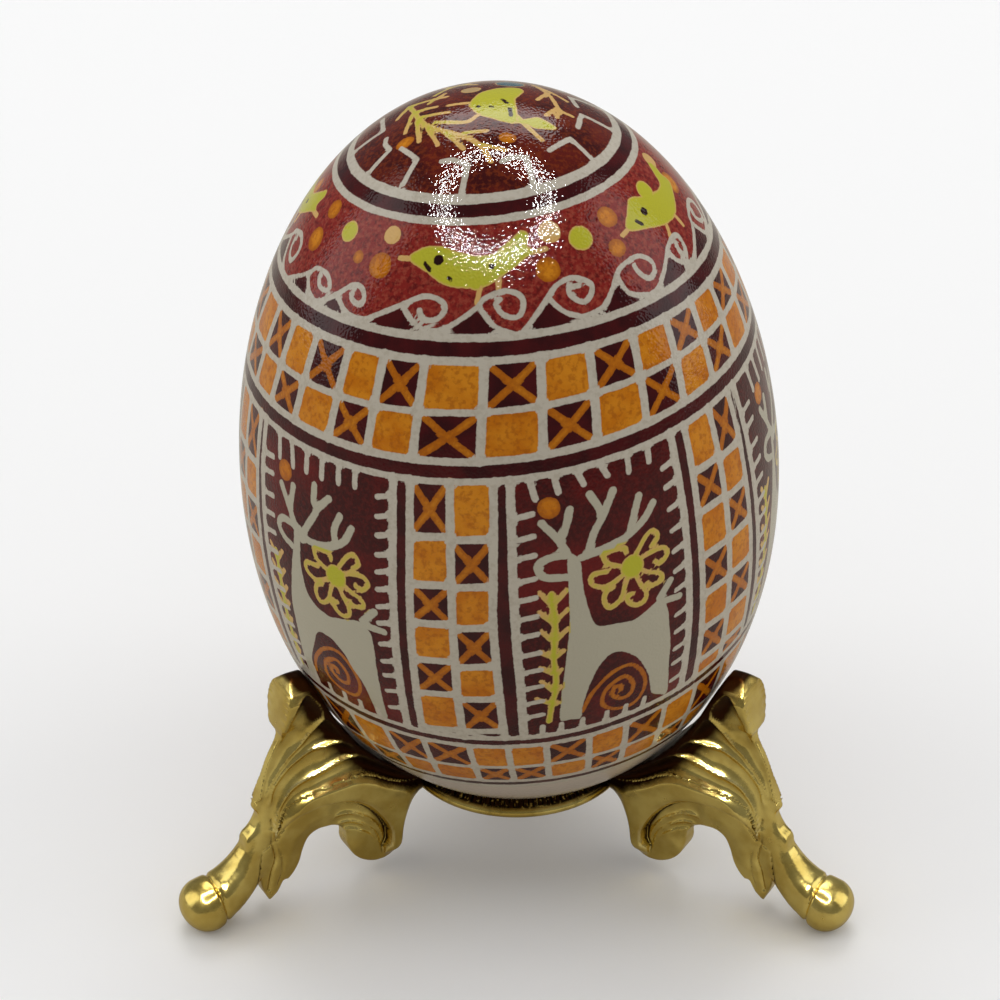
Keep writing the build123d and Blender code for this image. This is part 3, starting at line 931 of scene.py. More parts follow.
capDrawing = {
    "ticks": [
        [(-5.4, -7.5), (-4.3, -6.0), (-5.5, -4.2)], [(-1.1, -9.7), (-0.5, -7.6), (-1.6, -7.0), (-2.4, -6.9)],
        [(4.2, -9.0), (3.8, -7.0), (2.9, -7.1), (2.0, -7.5)], [(8.8, -5.6), (7.1, -4.2), (5.5, -6.0)],
        [(10.1, -0.4), (8.0, -0.3), (7.7, -2.5)], [(-7.9, -4.6), (-6.4, -3.7), (-6.8, -2.7), (-6.7, -2.0)],
        [(-9.7, -0.5), (-7.0, -0.5), (-7.2, 2.5)], [(-8.0, 5.6), (-6.0, 4.2), (-4.6, 6.0)],
        [(-3.4, 9.2), (-2.6, 7.1), (-0.6, 7.4)],
        [(1.6, 9.6), (1.3, 7.4), (3.4, 7.0)], [(6.4, 7.4), (5.0, 5.8), (6.6, 4.4)],
        [(9.2, 3.6), (7.2, 2.9), (7.7, 1.0)],
    ],
    "stem": [(-5.0, 1.9), (-4.1, -1.5), (-3.2, -3.2), (-1.1, -4.8), (0.3, -5.9), (1.2, -7.5)],
    "twigs": [
        [(-5.0, 1.9), (-5.9, 0.2)], [(-4.3, 0.0), (-2.8, -0.4)], [(-4.7, -0.4), (-5.2, -2.6)],
        [(-4.0, -1.3), (-1.8, -1.8)],
        [(-4.3, -1.7), (-4.1, -4.3)], [(-3.5, -3.0), (-2.7, -5.3)], [(-2.9, -2.7), (-0.6, -3.5), (0.4, -2.8)],
        [(-2.1, -4.3), (-0.8, -6.2)], [(-0.7, -4.7), (1.0, -4.7)], [(0.2, -5.9), (2.3, -6.6)],
        [(-5.0, 1.9), (-3.4, 1.4), (-2.0, 1.1)],
        [(-3.4, 0.7), (-2.2, 2.0)], [(-3.0, 2.3), (-1.8, 3.7), (-0.6, 4.2), (0.3, 4.6)],
        [(-1.8, 3.7), (-2.4, 4.8)], [(-1.0, 4.0), (0.2, 3.2)],
    ],
    "bird": [
        (-0.3, -1.1), (0.4, 0.6), (1.6, 1.6), (3.3, 2.1), (3.8, 1.2), (3.2, -0.5), (3.3, -2.9), (3.0, -3.9),
        (1.3, -3.3), (0.4, -2.8), (-0.2, -1.7),
    ],
    "tail": [(3.0, -3.7), (4.0, -3.1), (4.9, -2.7), (6.2, -3.6), (4.7, -4.1), (4.0, -3.9)],
    "leg": [(3.2, -2.9), (4.0, -4.1), (5.0, -5.2)],
    "beak": [(-1.9, -0.7), (-0.3, -0.9)],
    "rightSprig": [
        [(4.4, 4.0), (5.7, 1.5), (6.4, -0.8), (7.3, -1.2)], [(4.4, 4.0), (7.0, 1.3)], [(5.5, 1.8), (4.8, 0.0)],
        [(6.3, -0.6), (5.4, -2.2)], [(6.4, -0.8), (6.2, -2.1)],
    ],
    "marks": [
        [(0.35, -1.6), (0.45, -1.7)], [(1.3, -1.75), (1.45, -1.8)],
        [(2.2, -0.6), (2.5, -1.1)], [(2.75, -2.0), (2.8, -2.9)],
    ],
    "berryFlatness": 0.8,  # their height as a share of their width
    "berries": [  # layer, middle, radius and tone
        ("orange", -5.2, -3.8, 0.72, leafTone), ("orange", 2.5, -5.4, 0.66, leafTone),
        ("paint", 2.7, 3.3, 1.15, blueTone), ("paint", -0.2, 1.7, 0.8, 2.42),
    ],
}


def drawCap():
    def paintStrokes(strokes, width, tone=leafTone):
        for stroke in strokes:
            addLine("paint", stroke, width, tone, tanTone, cap=True)

    for tick in capDrawing["ticks"]:
        addLine("white", tick, drawing["capTick"], cap=True, smooth=False)
    paintStrokes([capDrawing["stem"]], drawing["capStem"])
    paintStrokes(capDrawing["twigs"], drawing["capTwig"])
    addPatch("paint", capDrawing["bird"], leafTone, cap=True)
    addPatch("paint", capDrawing["tail"], leafTone, cap=True)
    paintStrokes([capDrawing["leg"]], drawing["capStem"])
    paintStrokes([capDrawing["beak"], *capDrawing["rightSprig"]], drawing["capSprig"], tanTone)
    for mark in capDrawing["marks"]:
        addLine("dark", mark, drawing["capMark"], cap=True)
    turns = np.linspace(0, 2 * math.pi, 10, endpoint=False)
    for layer, x, y, radius, tone in capDrawing["berries"]:
        rise = capDrawing["berryFlatness"] * radius
        ring = [(x + radius * math.cos(a), y + rise * math.sin(a)) for a in turns]
        addPatch(layer, ring, tone, cap=True)


# from the drawing to numbers at every point of the shell

def insideOutline(points, outline):
    # the even and odd rule, for many points at once
    x, y = points[:, 0][:, None], points[:, 1][:, None]
    ax, ay = outline[:, 0][None], outline[:, 1][None]
    bx, by = np.roll(ax, -1), np.roll(ay, -1)
    crosses = (ay > y) != (by > y)
    with np.errstate(divide="ignore", invalid="ignore"):
        reach = (bx - ax) * (y - ay) / (by - ay) + ax
    return (np.sum(crosses & (x < reach), axis=1) % 2) == 1


def nearest(places, points):
    tree = kdtree.KDTree(len(places))
    for index, place in enumerate(places):
        tree.insert(place, index)
    tree.balance()
    found = [tree.find(point) for point in points]
    return np.array([f[1] for f in found]), np.array([f[2] for f in found])


def measurePatch(patch, around, turns, heights, flat):
    # the signed distance to a patch's edge for the points near it, as (which points, distances)
    outline, places = patch["outline"], patch["places"]
    middle = places.mean(0)
    reach = np.linalg.norm(places - middle, axis=1).max() + 1.0
    near = np.flatnonzero(np.linalg.norm(around - middle, axis=1) < reach)
    if patch["cap"]:
        own = flat[near]
    else:
        centre = outline[:, 0].mean()
        own = np.stack([(turns[near] - centre + 180.0) % 360.0 - 180.0 + centre, heights[near]], axis=1)
    inside = insideOutline(own, outline)
    _, distance = nearest(places, around[near].tolist())
    return near, np.where(inside, -distance, distance)


def runDirections(places):
    # the direction that a drawn line runs in at each of its points
    if len(places) < 2:
        return np.zeros_like(places)
    runs = np.gradient(places, axis=0)
    return runs / np.maximum(np.linalg.norm(runs, axis=1), 1e-9)[:, None]


def measureLayer(name, around, turns, heights, flat):
    # for every point of the shell: the way to the nearest stroke's middle, that stroke's half width,
    # the distances to the nearest stroke's and patch's edges, and the tone of the nearest of all
    stroke, patchEdge = np.full(len(around), farAway), np.full(len(around), farAway)
    half, tone, offset = np.zeros(len(around)), np.zeros(len(around)), np.zeros((len(around), 3))
    points = around.tolist()
    for halfWidth, group in lines[name].items():
        places = np.vstack([entry[0] for entry in group])
        tones = np.concatenate([entry[1] for entry in group])
        runs = np.vstack([runDirections(entry[0]) for entry in group])
        which, _ = nearest(places.tolist(), points)
        away = places[which] - around
        slide = np.sum(away * runs[which], axis=1)
        slide = np.where(np.abs(slide) < drawing["step"], slide, 0.0)
        away = away - slide[:, None] * runs[which]
        distance = np.linalg.norm(away, axis=1) - halfWidth
        closer = distance < stroke
        stroke, half = np.where(closer, distance, stroke), np.where(closer, halfWidth, half)
        tone = np.where(closer, tones[which], tone)
        offset[closer] = away[closer]
    for patch in patches[name]:
        near, distance = measurePatch(patch, around, turns, heights, flat)
        closer = distance < patchEdge[near]
        patchEdge[near] = np.where(closer, distance, patchEdge[near])
        first = distance < np.minimum(stroke, patchEdge)[near] + 1e-9
        tone[near] = np.where(first, patch["tone"], tone[near])
    values = {"Stroke": np.minimum(stroke, farAway), "Patch": patchEdge, "Half": half}
    return values, offset, tone


groundEdges = {"height": 0.012, "wedge": 0.36, "side": 0.9}  # softness in height, millimetres and degrees


def measureGround(shapes, around, turns, heights, flat):
    # the shares of the deer panels', shoulder's, cap's and foot's own grounds; the rest is near black
    def past(value, softness):
        return np.clip(value / softness + 0.5, 0.0, 1.0)

    def above(level):
        return past(heights - level, groundEdges["height"])

    def below(level):
        return past(level - heights, groundEdges["height"])

    red = above(shoulderTop(turns)) * below(bandHeights["capOuter"](turns))
    for rise, under in shapes:
        # the dark wedge under a wave: along its rising line, down its under line and back along the base
        stop = next((i for i, p in enumerate(rise) if p[0] >= under[0][0]), len(rise))
        base = [(t, shoulderTop(t)) for t in np.linspace(under[-1][0], rise[0][0], 6)]
        corners = rise[:stop] + under + base
        _, places = along(corners, False, True, False)
        wedge = {"outline": throughPoints(corners, True, False), "places": places, "cap": False}
        near, distance = measurePatch(wedge, around, turns, heights, flat)
        red[near] *= past(distance, groundEdges["wedge"])
    panel = np.zeros(len(around))
    bottom = np.interp(turns, *zip(*bandLine("foot", drawing["footGap"])))
    levels = np.linspace(-0.5, 0.32, 24)
    for deer, shift in panelPlaces:
        middle = deer["middle"] + shift
        own = (turns - middle + 180.0) % 360.0 - 180.0 + middle
        left, right = [np.interp(heights, levels, [side(h) for h in levels]) for side in panelSides(middle)]
        across = past(own - left, groundEdges["side"]) * past(right - own, groundEdges["side"])
        panel = np.maximum(panel, across * below(panelTop(turns)) * above(bottom))
    return {
        "panelGround": panel,
        "shoulderGround": red,
        "capGround": above(bandHeights["capInner"](turns)),
        "footGround": below(bandHeights["footPale"](turns)),
    }


def drawOnShell(egg, around):
    drawBands()
    drawUpperChecks()
    drawLowerChecks()
    drawStrips()
    for deer, shift in panelPlaces:
        drawPanel(deer, shift)
    shapes = drawWaves()
    drawShoulder()
    drawCap()
    strokes = sum(len(group) for layer in lines.values() for group in layer.values())
    print("drawing:", strokes, "strokes,", sum(len(layer) for layer in patches.values()), "patches")
    own = turnAboutY(around, drawing["lean"])
    turns = np.degrees(np.arctan2(own[:, 0], -own[:, 1]))
    heights = own[:, 2] / (eggSizes["length"] / 2)
    flat = own[:, :2]
    for name in layerNames:
        values, offset, tone = measureLayer(name, around, turns, heights, flat)
        for ending, value in values.items():
            addNumbers(egg.data, name + ending, value)
        layer = egg.data.attributes.new(name + "Offset", "FLOAT_VECTOR", "POINT")
        layer.data.foreach_set("vector", offset.astype(np.float32).ravel())
        if name == "paint":
            addNumbers(egg.data, "paintTone", tone)
    for name, share in measureGround(shapes, around, turns, heights, flat).items():
        addNumbers(egg.data, name, share)


# the shell's finish: dyes over white shell, under a hard bright varnish

shellFinish = {
    "colours": {
        "white": (197, 189, 174),
        "whiteShade": (176, 166, 148),
        "deer": (184, 178, 158),
        "leaf": (188, 184, 50),
        "tan": (214, 172, 104),
        "blue": (44, 92, 108),
        "orange": (196, 112, 6),
        "orangePale": (214, 136, 26),
        "orangeEdge": (160, 84, 8),
        "black": (52, 7, 10),
        "blackWarm": (84, 14, 16),
        "panel": (60, 8, 10),
        "panelBright": (98, 8, 10),
        "shoulder": (134, 34, 28),
        "shoulderDark": (88, 14, 16),
        "shoulderPale": (170, 82, 62),
        "cap": (96, 24, 15),
        "capDark": (62, 10, 10),
        "capWarm": (124, 50, 16),
        "foot": (200, 186, 172),
        "mark": (40, 12, 8),
    },
    "grains": {  # size in millimetres, the values between which it eases, detail and shift
        "mottle": (2.4, -0.3, 0.3, 3.0, 3.0),
        "speck": (0.34, -0.16, 0.34, 2.0, 5.0),
        "speckLow": (0.42, -0.1, 0.34, 2.0, 11.0),
        "cloud": (7.0, -0.1, 0.35, 2.0, 17.0),
    },
    "dyes": {  # a colour, and the tints that lie over it: which, by what grain, how strongly
        "black": [("blackWarm", "mottle", 0.6)],
        "panel": [("panelBright", "cloud", 1.0), ("shoulder", "speck", 0.18)],
        "shoulder": [("shoulderDark", "speckLow", 0.75), ("shoulderPale", "speck", 0.5)],
        "cap": [("capDark", "mottle", 1.0), ("capWarm", "speck", 0.6)],
        "foot": [],
        "orange": [("orangePale", "mottle", 1.0), ("orangeEdge", "speckLow", 0.55)],
        "white": [("whiteShade", "speckLow", 0.5)],
    },
    "tones": {"leaf": (0.0, 1.0), "tan": (1.0, 2.0), "blue": (2.2, 2.8)},  # where each paint sets in
    "orangeBrim": (0.45, 0.75),  # millimetres in from the edge that it darkens, and how strongly
    "leafFringe": (0.2, 0.8),
    "edgeSoftness": 0.045,  # millimetres
    "edgeWander": (1.3, 0.07),  # size and amount, in millimetres
    "edgeRoughness": (0.28, 0.045),
    "guard": 0.04,  # keeps two strokes on either side of a face from meeting in it
    "ripple": (0.2, 1.5),  # size in millimetres and amount
    "swell": (1.6, 0.3),
    "relief": 0.007,  # millimetres
    "roughness": (0.015, 0.035),
    "varnishIndex": 1.36,
}


def makeShellMaterial():
    material, tree, finish = startMaterial("varnished_shell")
    look = shellFinish
    colours = paintColours(look["colours"])
    wander = grain(tree, *look["edgeWander"], 1.0, 0.0, (-1800, 600))
    rough = grain(tree, *look["edgeRoughness"], 1.0, 7.0, (-1800, 400))
    wobble = plus(tree, wander, rough, (-1600, 500))
    spots = {
        name: grainShare(tree, *values, place=(-1800, -500 - 200 * row))
        for row, (name, values) in enumerate(look["grains"].items())
    }

    def mask(name, y):
        # from the way to the stroke's middle, which stays true between the points of the mesh
        way = addNode(tree, "ShaderNodeAttribute", (-2400, y), attribute_name=name + "Offset").outputs["Vector"]
        length = addNode(tree, "ShaderNodeVectorMath", (-2200, y), {0: way}, operation="LENGTH").outputs["Value"]
        half = readMark(tree, name + "Half", (-2400, y - 60))
        stroke = readMark(tree, name + "Stroke", (-2400, y - 120))
        patch = readMark(tree, name + "Patch", (-2400, y - 180))
        fine = doMath(tree, "SUBTRACT", length, half, place=(-2000, y))
        guard = doMath(tree, "SUBTRACT", stroke, look["guard"], place=(-2200, y - 120))
        drawn = doMath(tree, "MAXIMUM", fine, guard, place=(-1900, y))
        edge = doMath(tree, "MINIMUM", drawn, patch, place=(-1800, y))
        moved = plus(tree, edge, wobble, (-1400, y))
        soft = look["edgeSoftness"]
        return rampValue(tree, moved, -soft, soft, 1.0, 0.0, (-1200, y)), moved

    def dyed(name, y):
        # the dye with its tints over it
        colour = colours[name]
        for row, (tint, spot, strength) in enumerate(look["dyes"][name]):
            share = times(tree, spots[spot], strength, (-1100 + 200 * row, y))
            colour = mixColour(tree, share, colour, colours[tint], (-900 + 200 * row, y))
        return colour

    def brim(depth, strength, distance, place):
        # the share of a darker edge: full at the edge and gone a little way inside it
        return rampValue(tree, distance, -depth, 0.0, 0.0, strength, place)

    whiteMask, _ = mask("white", 300)
    paintMask, paintDistance = mask("paint", 100)
    orangeMask, orangeDistance = mask("orange", -100)
    darkMask, _ = mask("dark", -300)

    colour = dyed("black", -300)
    for row, name in enumerate(("panel", "shoulder", "cap", "foot")):
        y = -500 - 200 * row
        colour = mixColour(tree, readMark(tree, name + "Ground", (-500, y)), colour, dyed(name, y), (-300, y))

    edge = brim(*look["orangeBrim"], orangeDistance, (-700, 100))
    orange = mixColour(tree, edge, dyed("orange", 0), colours["orangeEdge"], (-500, 0))

    tone = readMark(tree, "paintTone", (-1200, 900))
    paint = colours["deer"]
    shares = {}
    for row, (name, (low, high)) in enumerate(look["tones"].items()):
        shares[name] = rampValue(tree, tone, low, high, place=(-1000, 1000 - 100 * row))
        paint = mixColour(tree, shares[name], paint, colours[name], (-800 + 200 * row, 900))
    edge = times(tree, brim(*look["leafFringe"], paintDistance, (-800, 700)), shares["leaf"], (-600, 700))
    paint = mixColour(tree, edge, paint, colours["tan"], (-200, 900))

    layers = [(orangeMask, orange), (paintMask, paint), (darkMask, colours["mark"]), (whiteMask, dyed("white", 500))]
    for row, (share, layer) in enumerate(layers):
        colour = mixColour(tree, share, colour, layer, (150 * row, 0))
    tree.links.new(colour, finish.inputs["Base Color"])
    ripple = grain(tree, *look["ripple"], 0.0, 23.0, (0, -600))
    swell = grain(tree, *look["swell"], 1.0, 29.0, (0, -800))
    addRelief(tree, finish, plus(tree, ripple, swell, (200, -700)), look["relief"])
    gloss = grainShare(tree, 0.9, -0.5, 0.5, 3.0, 31.0, (0, -300), *look["roughness"])
    tree.links.new(gloss, finish.inputs["Roughness"])
    finish.inputs["IOR"].default_value = look["varnishIndex"]
    return material


# the stand's metal: cast and polished brass; brown in the legs' hollows and near the egg, partly tarnish and partly
# painted shade, with a painted highlight along the ridges

brassFinish = {
    "colours": {
        "bright": (238, 215, 126),
        "deep": (204, 176, 90),
        # brown: random grime on the ring; on the legs, partly tarnish and partly painted shade in the hollows
        "grimeAndShade": (48, 24, 7),
        # a painted highlight along the legs' ridges
        "crest": (252, 240, 184),
        # painted shade over the ring's milled band
        "bandShade": (52, 32, 12),
    },
    "relief": 0.012,  # millimetres
    "hollows": (0.03, 0.22),  # the hollows' depths between which the darker brown, partly tarnish and partly painted shade, sets in
    "crests": (-0.3, -0.08, 0.85),  # the ridges' heights over which the painted highlight sets in, and how strongly
    "roughness": (0.16, 0.28),
    "grimeAndShadeRoughness": 0.2,
    "ringGrime": 0.5,
    "ringBand": (7.62, 7.82),  # the heights between which the ring's milling begins, in millimetres
    # the share of random lit specks that break the ring's painted shade
    "ringLitSpecks": 0.75,
}


def makeBrass(name, grimeAndShadeShare=1.0, hollowMark=True):
    material, tree, finish = startMaterial(name)
    look = brassFinish
    colours = paintColours(look["colours"])
    mottle = grainShare(tree, 3.2, -0.35, 0.35, 3.0, 3.0, (-1200, 300))
    metal = mixColour(tree, mottle, colours["bright"], colours["deep"], (-700, 300))
    ripple = grain(tree, 0.45, 0.5, 2.0, 13.0, (-1200, -500))
    swell = grain(tree, 2.2, 1.0, 1.0, 19.0, (-1200, -700))
    addRelief(tree, finish, doMath(tree, "MULTIPLY_ADD", swell, 3.0, ripple, (-900, -600)), look["relief"])
    if hollowMark:
        hollow = readMark(tree, "hollow", (-1400, 200))
        ragged = grain(tree, 0.8, 1.0, 3.0, 9.0, (-1200, 0))
        ragged = doMath(tree, "MULTIPLY_ADD", ragged, 0.05, hollow, (-900, 50))
        # darker brown in the hollows and near the egg: partly tarnish, partly painted shade
        grimeAndShade = rampValue(tree, ragged, *look["hollows"], 0.0, grimeAndShadeShare, (-700, 0))
        # a painted highlight along every ridge
        low, high, litShare = look["crests"]
        crest = rampValue(tree, hollow, low, high, litShare, 0.0, (-900, 500))
        metal = mixColour(tree, crest, metal, colours["crest"], (-500, 400))
    else:
        grimeAndShade = grainShare(tree, 1.2, 0.0, 0.6, 3.0, 9.0, (-1200, 0), 0.0, grimeAndShadeShare)
    # the darker brown laid on: random grime on the ring; on the legs, partly tarnish and partly painted shade
    colour = mixColour(tree, grimeAndShade, metal, colours["grimeAndShade"], (-300, 200))
    tree.links.new(colour, finish.inputs["Base Color"])
    dull = grainShare(tree, 1.4, -0.4, 0.5, 3.0, 25.0, (-700, -300), *look["roughness"])
    dull = doMath(tree, "MULTIPLY_ADD", grimeAndShade, look["grimeAndShadeRoughness"], dull, (0, -300))
    tree.links.new(dull, finish.inputs["Roughness"])
    finish.inputs["Metallic"].default_value = 1.0
    return material, tree, finish


def makeRingBrass():
    # the ring's smooth lip below, and its milled band above, painted dark brown as painted shade, broken by random
    # lit specks
    look = brassFinish
    material, tree, finish = makeBrass("milled_brass", look["ringGrime"], False)
    place = addNode(tree, "ShaderNodeTexCoord", (-1600, 900)).outputs["Object"]
    parts = addNode(tree, "ShaderNodeSeparateXYZ", (-1400, 900), {0: place})
    low, high = look["ringBand"]
    # painted shade over the milled band, from a height up, broken by random lit specks
    band = rampValue(tree, parts.outputs["Z"], low * mm, high * mm, place=(-1200, 900))
    speck = grainShare(tree, 0.3, 0.12, 0.4, 2.0, 41.0, (-1400, 700))
    litShare = times(tree, speck, look["ringLitSpecks"], (-1100, 700))
    bandShade = times(tree, band, doMath(tree, "SUBTRACT", 1.0, litShare, place=(-1000, 800)), (-800, 850))
    metal = finish.inputs["Base Color"].links[0].from_socket
    colour = mixColour(tree, bandShade, metal, paintColour(look["colours"]["bandShade"]), (600, 400))
    tree.links.new(colour, finish.inputs["Base Color"])
    return material


waxFinish = {
    "wax": (226, 214, 184),
    "smudge": (178, 158, 120),
    "roughness": 0.42,
    "relief": 0.02,  # millimetres
    "glow": 0.2,  # the share of light that goes in and comes out again
    "glowReach": (0.4, 0.3, 0.2),  # millimetres, for red, green and blue
}


def makeWax():
    material, tree, finish = startMaterial("plug_wax")
    look = waxFinish
    smudge = grainShare(tree, 0.8, -0.1, 0.5, 3.0, 51.0, (-600, 200))
    colour = mixColour(tree, smudge, paintColour(look["wax"]), paintColour(look["smudge"]), (0, 200))
    tree.links.new(colour, finish.inputs["Base Color"])
    addRelief(tree, finish, grain(tree, 0.5, 1.0, 2.0, 53.0, (0, -300)), look["relief"])
    finish.inputs["Roughness"].default_value = look["roughness"]
    finish.inputs["Subsurface Weight"].default_value = look["glow"]
    finish.inputs["Subsurface Radius"].default_value = tuple(reach * mm for reach in look["glowReach"])
    return material


# the cast legs: one sculpted form in its own flat plane, out from the stand's axis and up, which is
# then turned to its three places

legSizes = {
    "cell": 0.125,  # millimetres between the points of the sculpted skin
    "reaches": (8.7, 32.3),  # the block in which the skin is sought: out from the axis and up
    "heights": (-0.4, 22.3),
    "cellsSideways": 20.5,
    "angles": {"leg_front_left": 210.0, "leg_front_right": 330.0, "leg_back": 90.0},
    "eggMiddle": 36.902,  # height of the upright egg's middle
    "eggGap": 0.29,
    "ringRadius": 9.73,
    "outerHalf": [  # height and half thickness of the outer edge
        (8.0, 0.95), (10.3, 0.85), (13.5, 0.58), (15.3, 0.56), (16.8, 0.95), (17.6, 1.45), (18.5, 1.75),
        (19.3, 1.95), (21.0, 1.95),
    ],
    "topTaper": [(19.7, 2.1), (20.8, 1.7), (21.8, 0.6)],
    "plateHalf": 1.95,
    "plateReach": 4.2,  # from the outer edge in to the plate's full thickness
    "eggFlare": 0.55,
    "flareReach": 0.9,
    "flareEase": (13.0, 3.0),  # of every ease: where it starts, and how far on it is complete
    "ringHalf": 1.5,
    "ringEase": (12.5, -2.8),
    "fluteDepth": 1.25,
    "fluteShare": 0.62,  # of the thickness there, at most
    "fluteSlope": 2.3,
    "bandHalf": 2.32,
    "bandEdge": 1.6,
    "bandNarrow": 1.3,  # a band narrower than this loses its crown
    "kneeThinning": 0.65,
    "kneeEase": (20.2, 3.6),
    "voluteEase": (1.5, 1.7),
    "throatThinning": 0.4,
    "throatEase": (12.0, -2.2),
    "bevelHalf": 0.95,
    "bevelRise": 0.28,
    "bevelReach": 1.5,
    "fanDepth": 0.34,
    "fanSlope": 2.2,
    "fanEase": (18.9, -1.7),
    "creases": {"leafCrease": (0.2, 0.15), "leafLine": (0.14, 0.14), "bandCrease": (0.14, 0.16)},  # depth, half width
    "least": 0.35,
    "slopeShare": 0.8,  # how much the rounding counts sideways
    "edgeRound": 0.26,
    "eggShadeAndTarnishReach": 1.9,  # brown metal this far from the egg: partly tarnish, partly painted shade and a painted reflection of the dark egg
    "eggShadeAndTarnish": 0.3,
    "hollowBlurs": 14,
    "hollowEdge": 0.5,
    "stem": [(23.4, 10.9), (24.35, 7.6), (25.52, 4.9), (27.42, 3.0), (29.5, 2.1)],
    "stemDepths": [0.5, 0.8, 1.38, 1.6, 1.95],
    "stemHalves": [0.6, 0.95, 1.4, 1.85, 2.2],
    "stemPower": 2.8,
    "toe": (29.33, 2.05),
    "toeRadii": (2.2, 2.05, 2.28),  # out, up and sideways
    "toeCrease": [(28.61, 3.2), (0.99, -0.14), 0.15, 0.2],  # place, direction, half width and depth
    "toeJoin": 0.3,  # rounding in millimetres, where one form meets another
    "footJoin": 0.25,
    "soleRound": 0.05,
    "corners": {  # straight runs, and what closes an area
        "tips": [(24.2, 1.08), (23.44, 1.7), (22.78, 2.5)],
        "tenon": [(9.13, 6.55), (9.13, 6.87), (9.73, 6.87)],
        "bandRoot": [(9.4, 7.4)],
        "fanEnd": [(19.4, 6.2), (17.4, 5.7)],
        "underBand": [(24.6, 6.4), (26.0, 0.0), (12.9, 0.0), (13.4, 2.4)],
    },
}
legLines = {
    "outer": [
        (20.3, 21.78), (20.95, 21.8), (21.45, 21.5), (21.88, 20.7), (22.24, 19.19), (22.44, 17.92),
        (22.5, 17.2), (22.23, 16.82), (22.33, 16.25), (22.87, 15.27), (23.46, 14.1), (23.99, 12.65),
        (24.47, 11.29), (24.95, 10.32),
    ],
    "shoulder": [
        (24.95, 10.32), (24.47, 9.23), (24.99, 8.24), (25.62, 7.77), (25.89, 7.14), (25.7, 6.33), (25.2, 5.2),
        (24.9, 4.0), (24.81, 2.62), (24.2, 1.08),
    ],
    "arch": [
        (22.3, 2.4), (21.74, 2.95), (21.2, 3.86), (20.83, 5.01), (20.29, 6.0), (19.43, 6.42), (18.5, 6.35),
        (17.6, 5.95), (16.95, 5.3), (16.76, 4.55),
    ],
    "boss": [(16.76, 4.55), (16.7, 3.7), (16.35, 2.8), (15.6, 1.98), (14.6, 1.45), (13.65, 1.32)],
    "throat": [
        (13.65, 1.32), (12.95, 1.55), (12.35, 2.2), (12.02, 3.2), (11.82, 4.5), (11.42, 5.65), (10.8, 6.65),
        (10.0, 7.2),
    ],
    "strip": [
        (20.5, 20.9), (21.1, 20.05), (21.81, 18.56), (22.2, 16.81), (22.87, 15.24), (23.46, 14.08),
        (23.99, 12.62), (24.3, 11.29),
    ],
    "ridgeTwo": [
        (17.4, 20.2), (18.61, 18.82), (19.67, 17.2), (20.21, 16.36), (20.79, 15.48), (21.58, 14.72),
        (22.5, 13.6), (23.3, 12.5), (23.83, 11.3),
    ],
    "ridgeThree": [
        (15.6, 15.6), (16.85, 15.43), (18.75, 15.25), (20.0, 15.02), (21.1, 14.29), (21.89, 13.63),
        (22.63, 12.79), (23.27, 11.89), (23.67, 10.6),
    ],
    "ridgeFour": [
        (13.6, 13.4), (15.05, 13.65), (16.32, 13.51), (17.63, 13.31), (19.22, 12.89), (20.47, 12.58),
        (21.7, 11.83), (22.45, 10.9), (23.09, 9.81), (23.61, 8.12),
    ],
    "bandTop": [
        (10.0, 8.6), (11.31, 8.85), (13.24, 9.73), (14.55, 10.62), (16.01, 11.2), (17.66, 11.14),
        (19.29, 11.03), (20.87, 10.84), (22.09, 10.26), (22.85, 9.24), (23.38, 7.85),
    ],
    "bandCrease": [
        (13.7, 2.71), (13.27, 3.43), (13.31, 4.57), (13.91, 5.92), (14.88, 7.22), (16.01, 8.2), (17.31, 8.84),
        (18.61, 9.13), (19.91, 9.26), (21.01, 9.0), (21.87, 8.71), (22.7, 7.84), (23.35, 6.92),
    ],
    "fanOne": [(13.76, 2.85), (13.65, 3.85), (14.44, 5.46), (15.58, 6.55), (16.72, 7.22), (17.87, 7.33)],
    "fanTwo": [(13.95, 3.15), (14.42, 4.45), (15.39, 5.57), (16.53, 6.29), (17.53, 6.3)],
    "fanThree": [(14.06, 3.31), (14.87, 4.38), (16.02, 5.28), (16.84, 5.51)],
    "leafCrease": [(23.6, 9.0), (23.75, 7.25), (23.5, 5.3), (23.9, 4.0), (24.3, 2.3)],
    "leafLine": [(23.3, 6.6), (22.9, 5.2), (23.0, 3.6), (23.4, 2.4)],
}


def legCurve(name):
    return throughPoints(legLines[name])


def lineDistance(points, line):
    # how far each point is from a run of straight pieces, and how far along it the nearest place is
    start, end = line[:-1], line[1:]
    span = end - start
    length = np.maximum(np.sum(span ** 2, axis=1), 1e-9)
    best = np.full(len(points), 1e9)
    spot = np.zeros(len(points))
    for index in range(len(start)):
        away = points - start[index]
        share = np.clip(away @ span[index] / length[index], 0.0, 1.0)
        distance = np.hypot(*(away - share[:, None] * span[index]).T)
        closer = distance < best
        best = np.where(closer, distance, best)
        spot = np.where(closer, index + share, spot)
    return best, spot / len(start)


def thin(line, step=4):
    return np.vstack([line[:-1:step], line[-1:]])


def smoothMost(first, second, rounding):
    # the larger of two values with a rounded corner
    share = np.clip(0.5 + 0.5 * (first - second) / rounding, 0.0, 1.0)
    return second + (first - second) * share + rounding * share * (1.0 - share)


def smoothLeast(first, second, rounding):
    return -smoothMost(-first, -second, rounding)


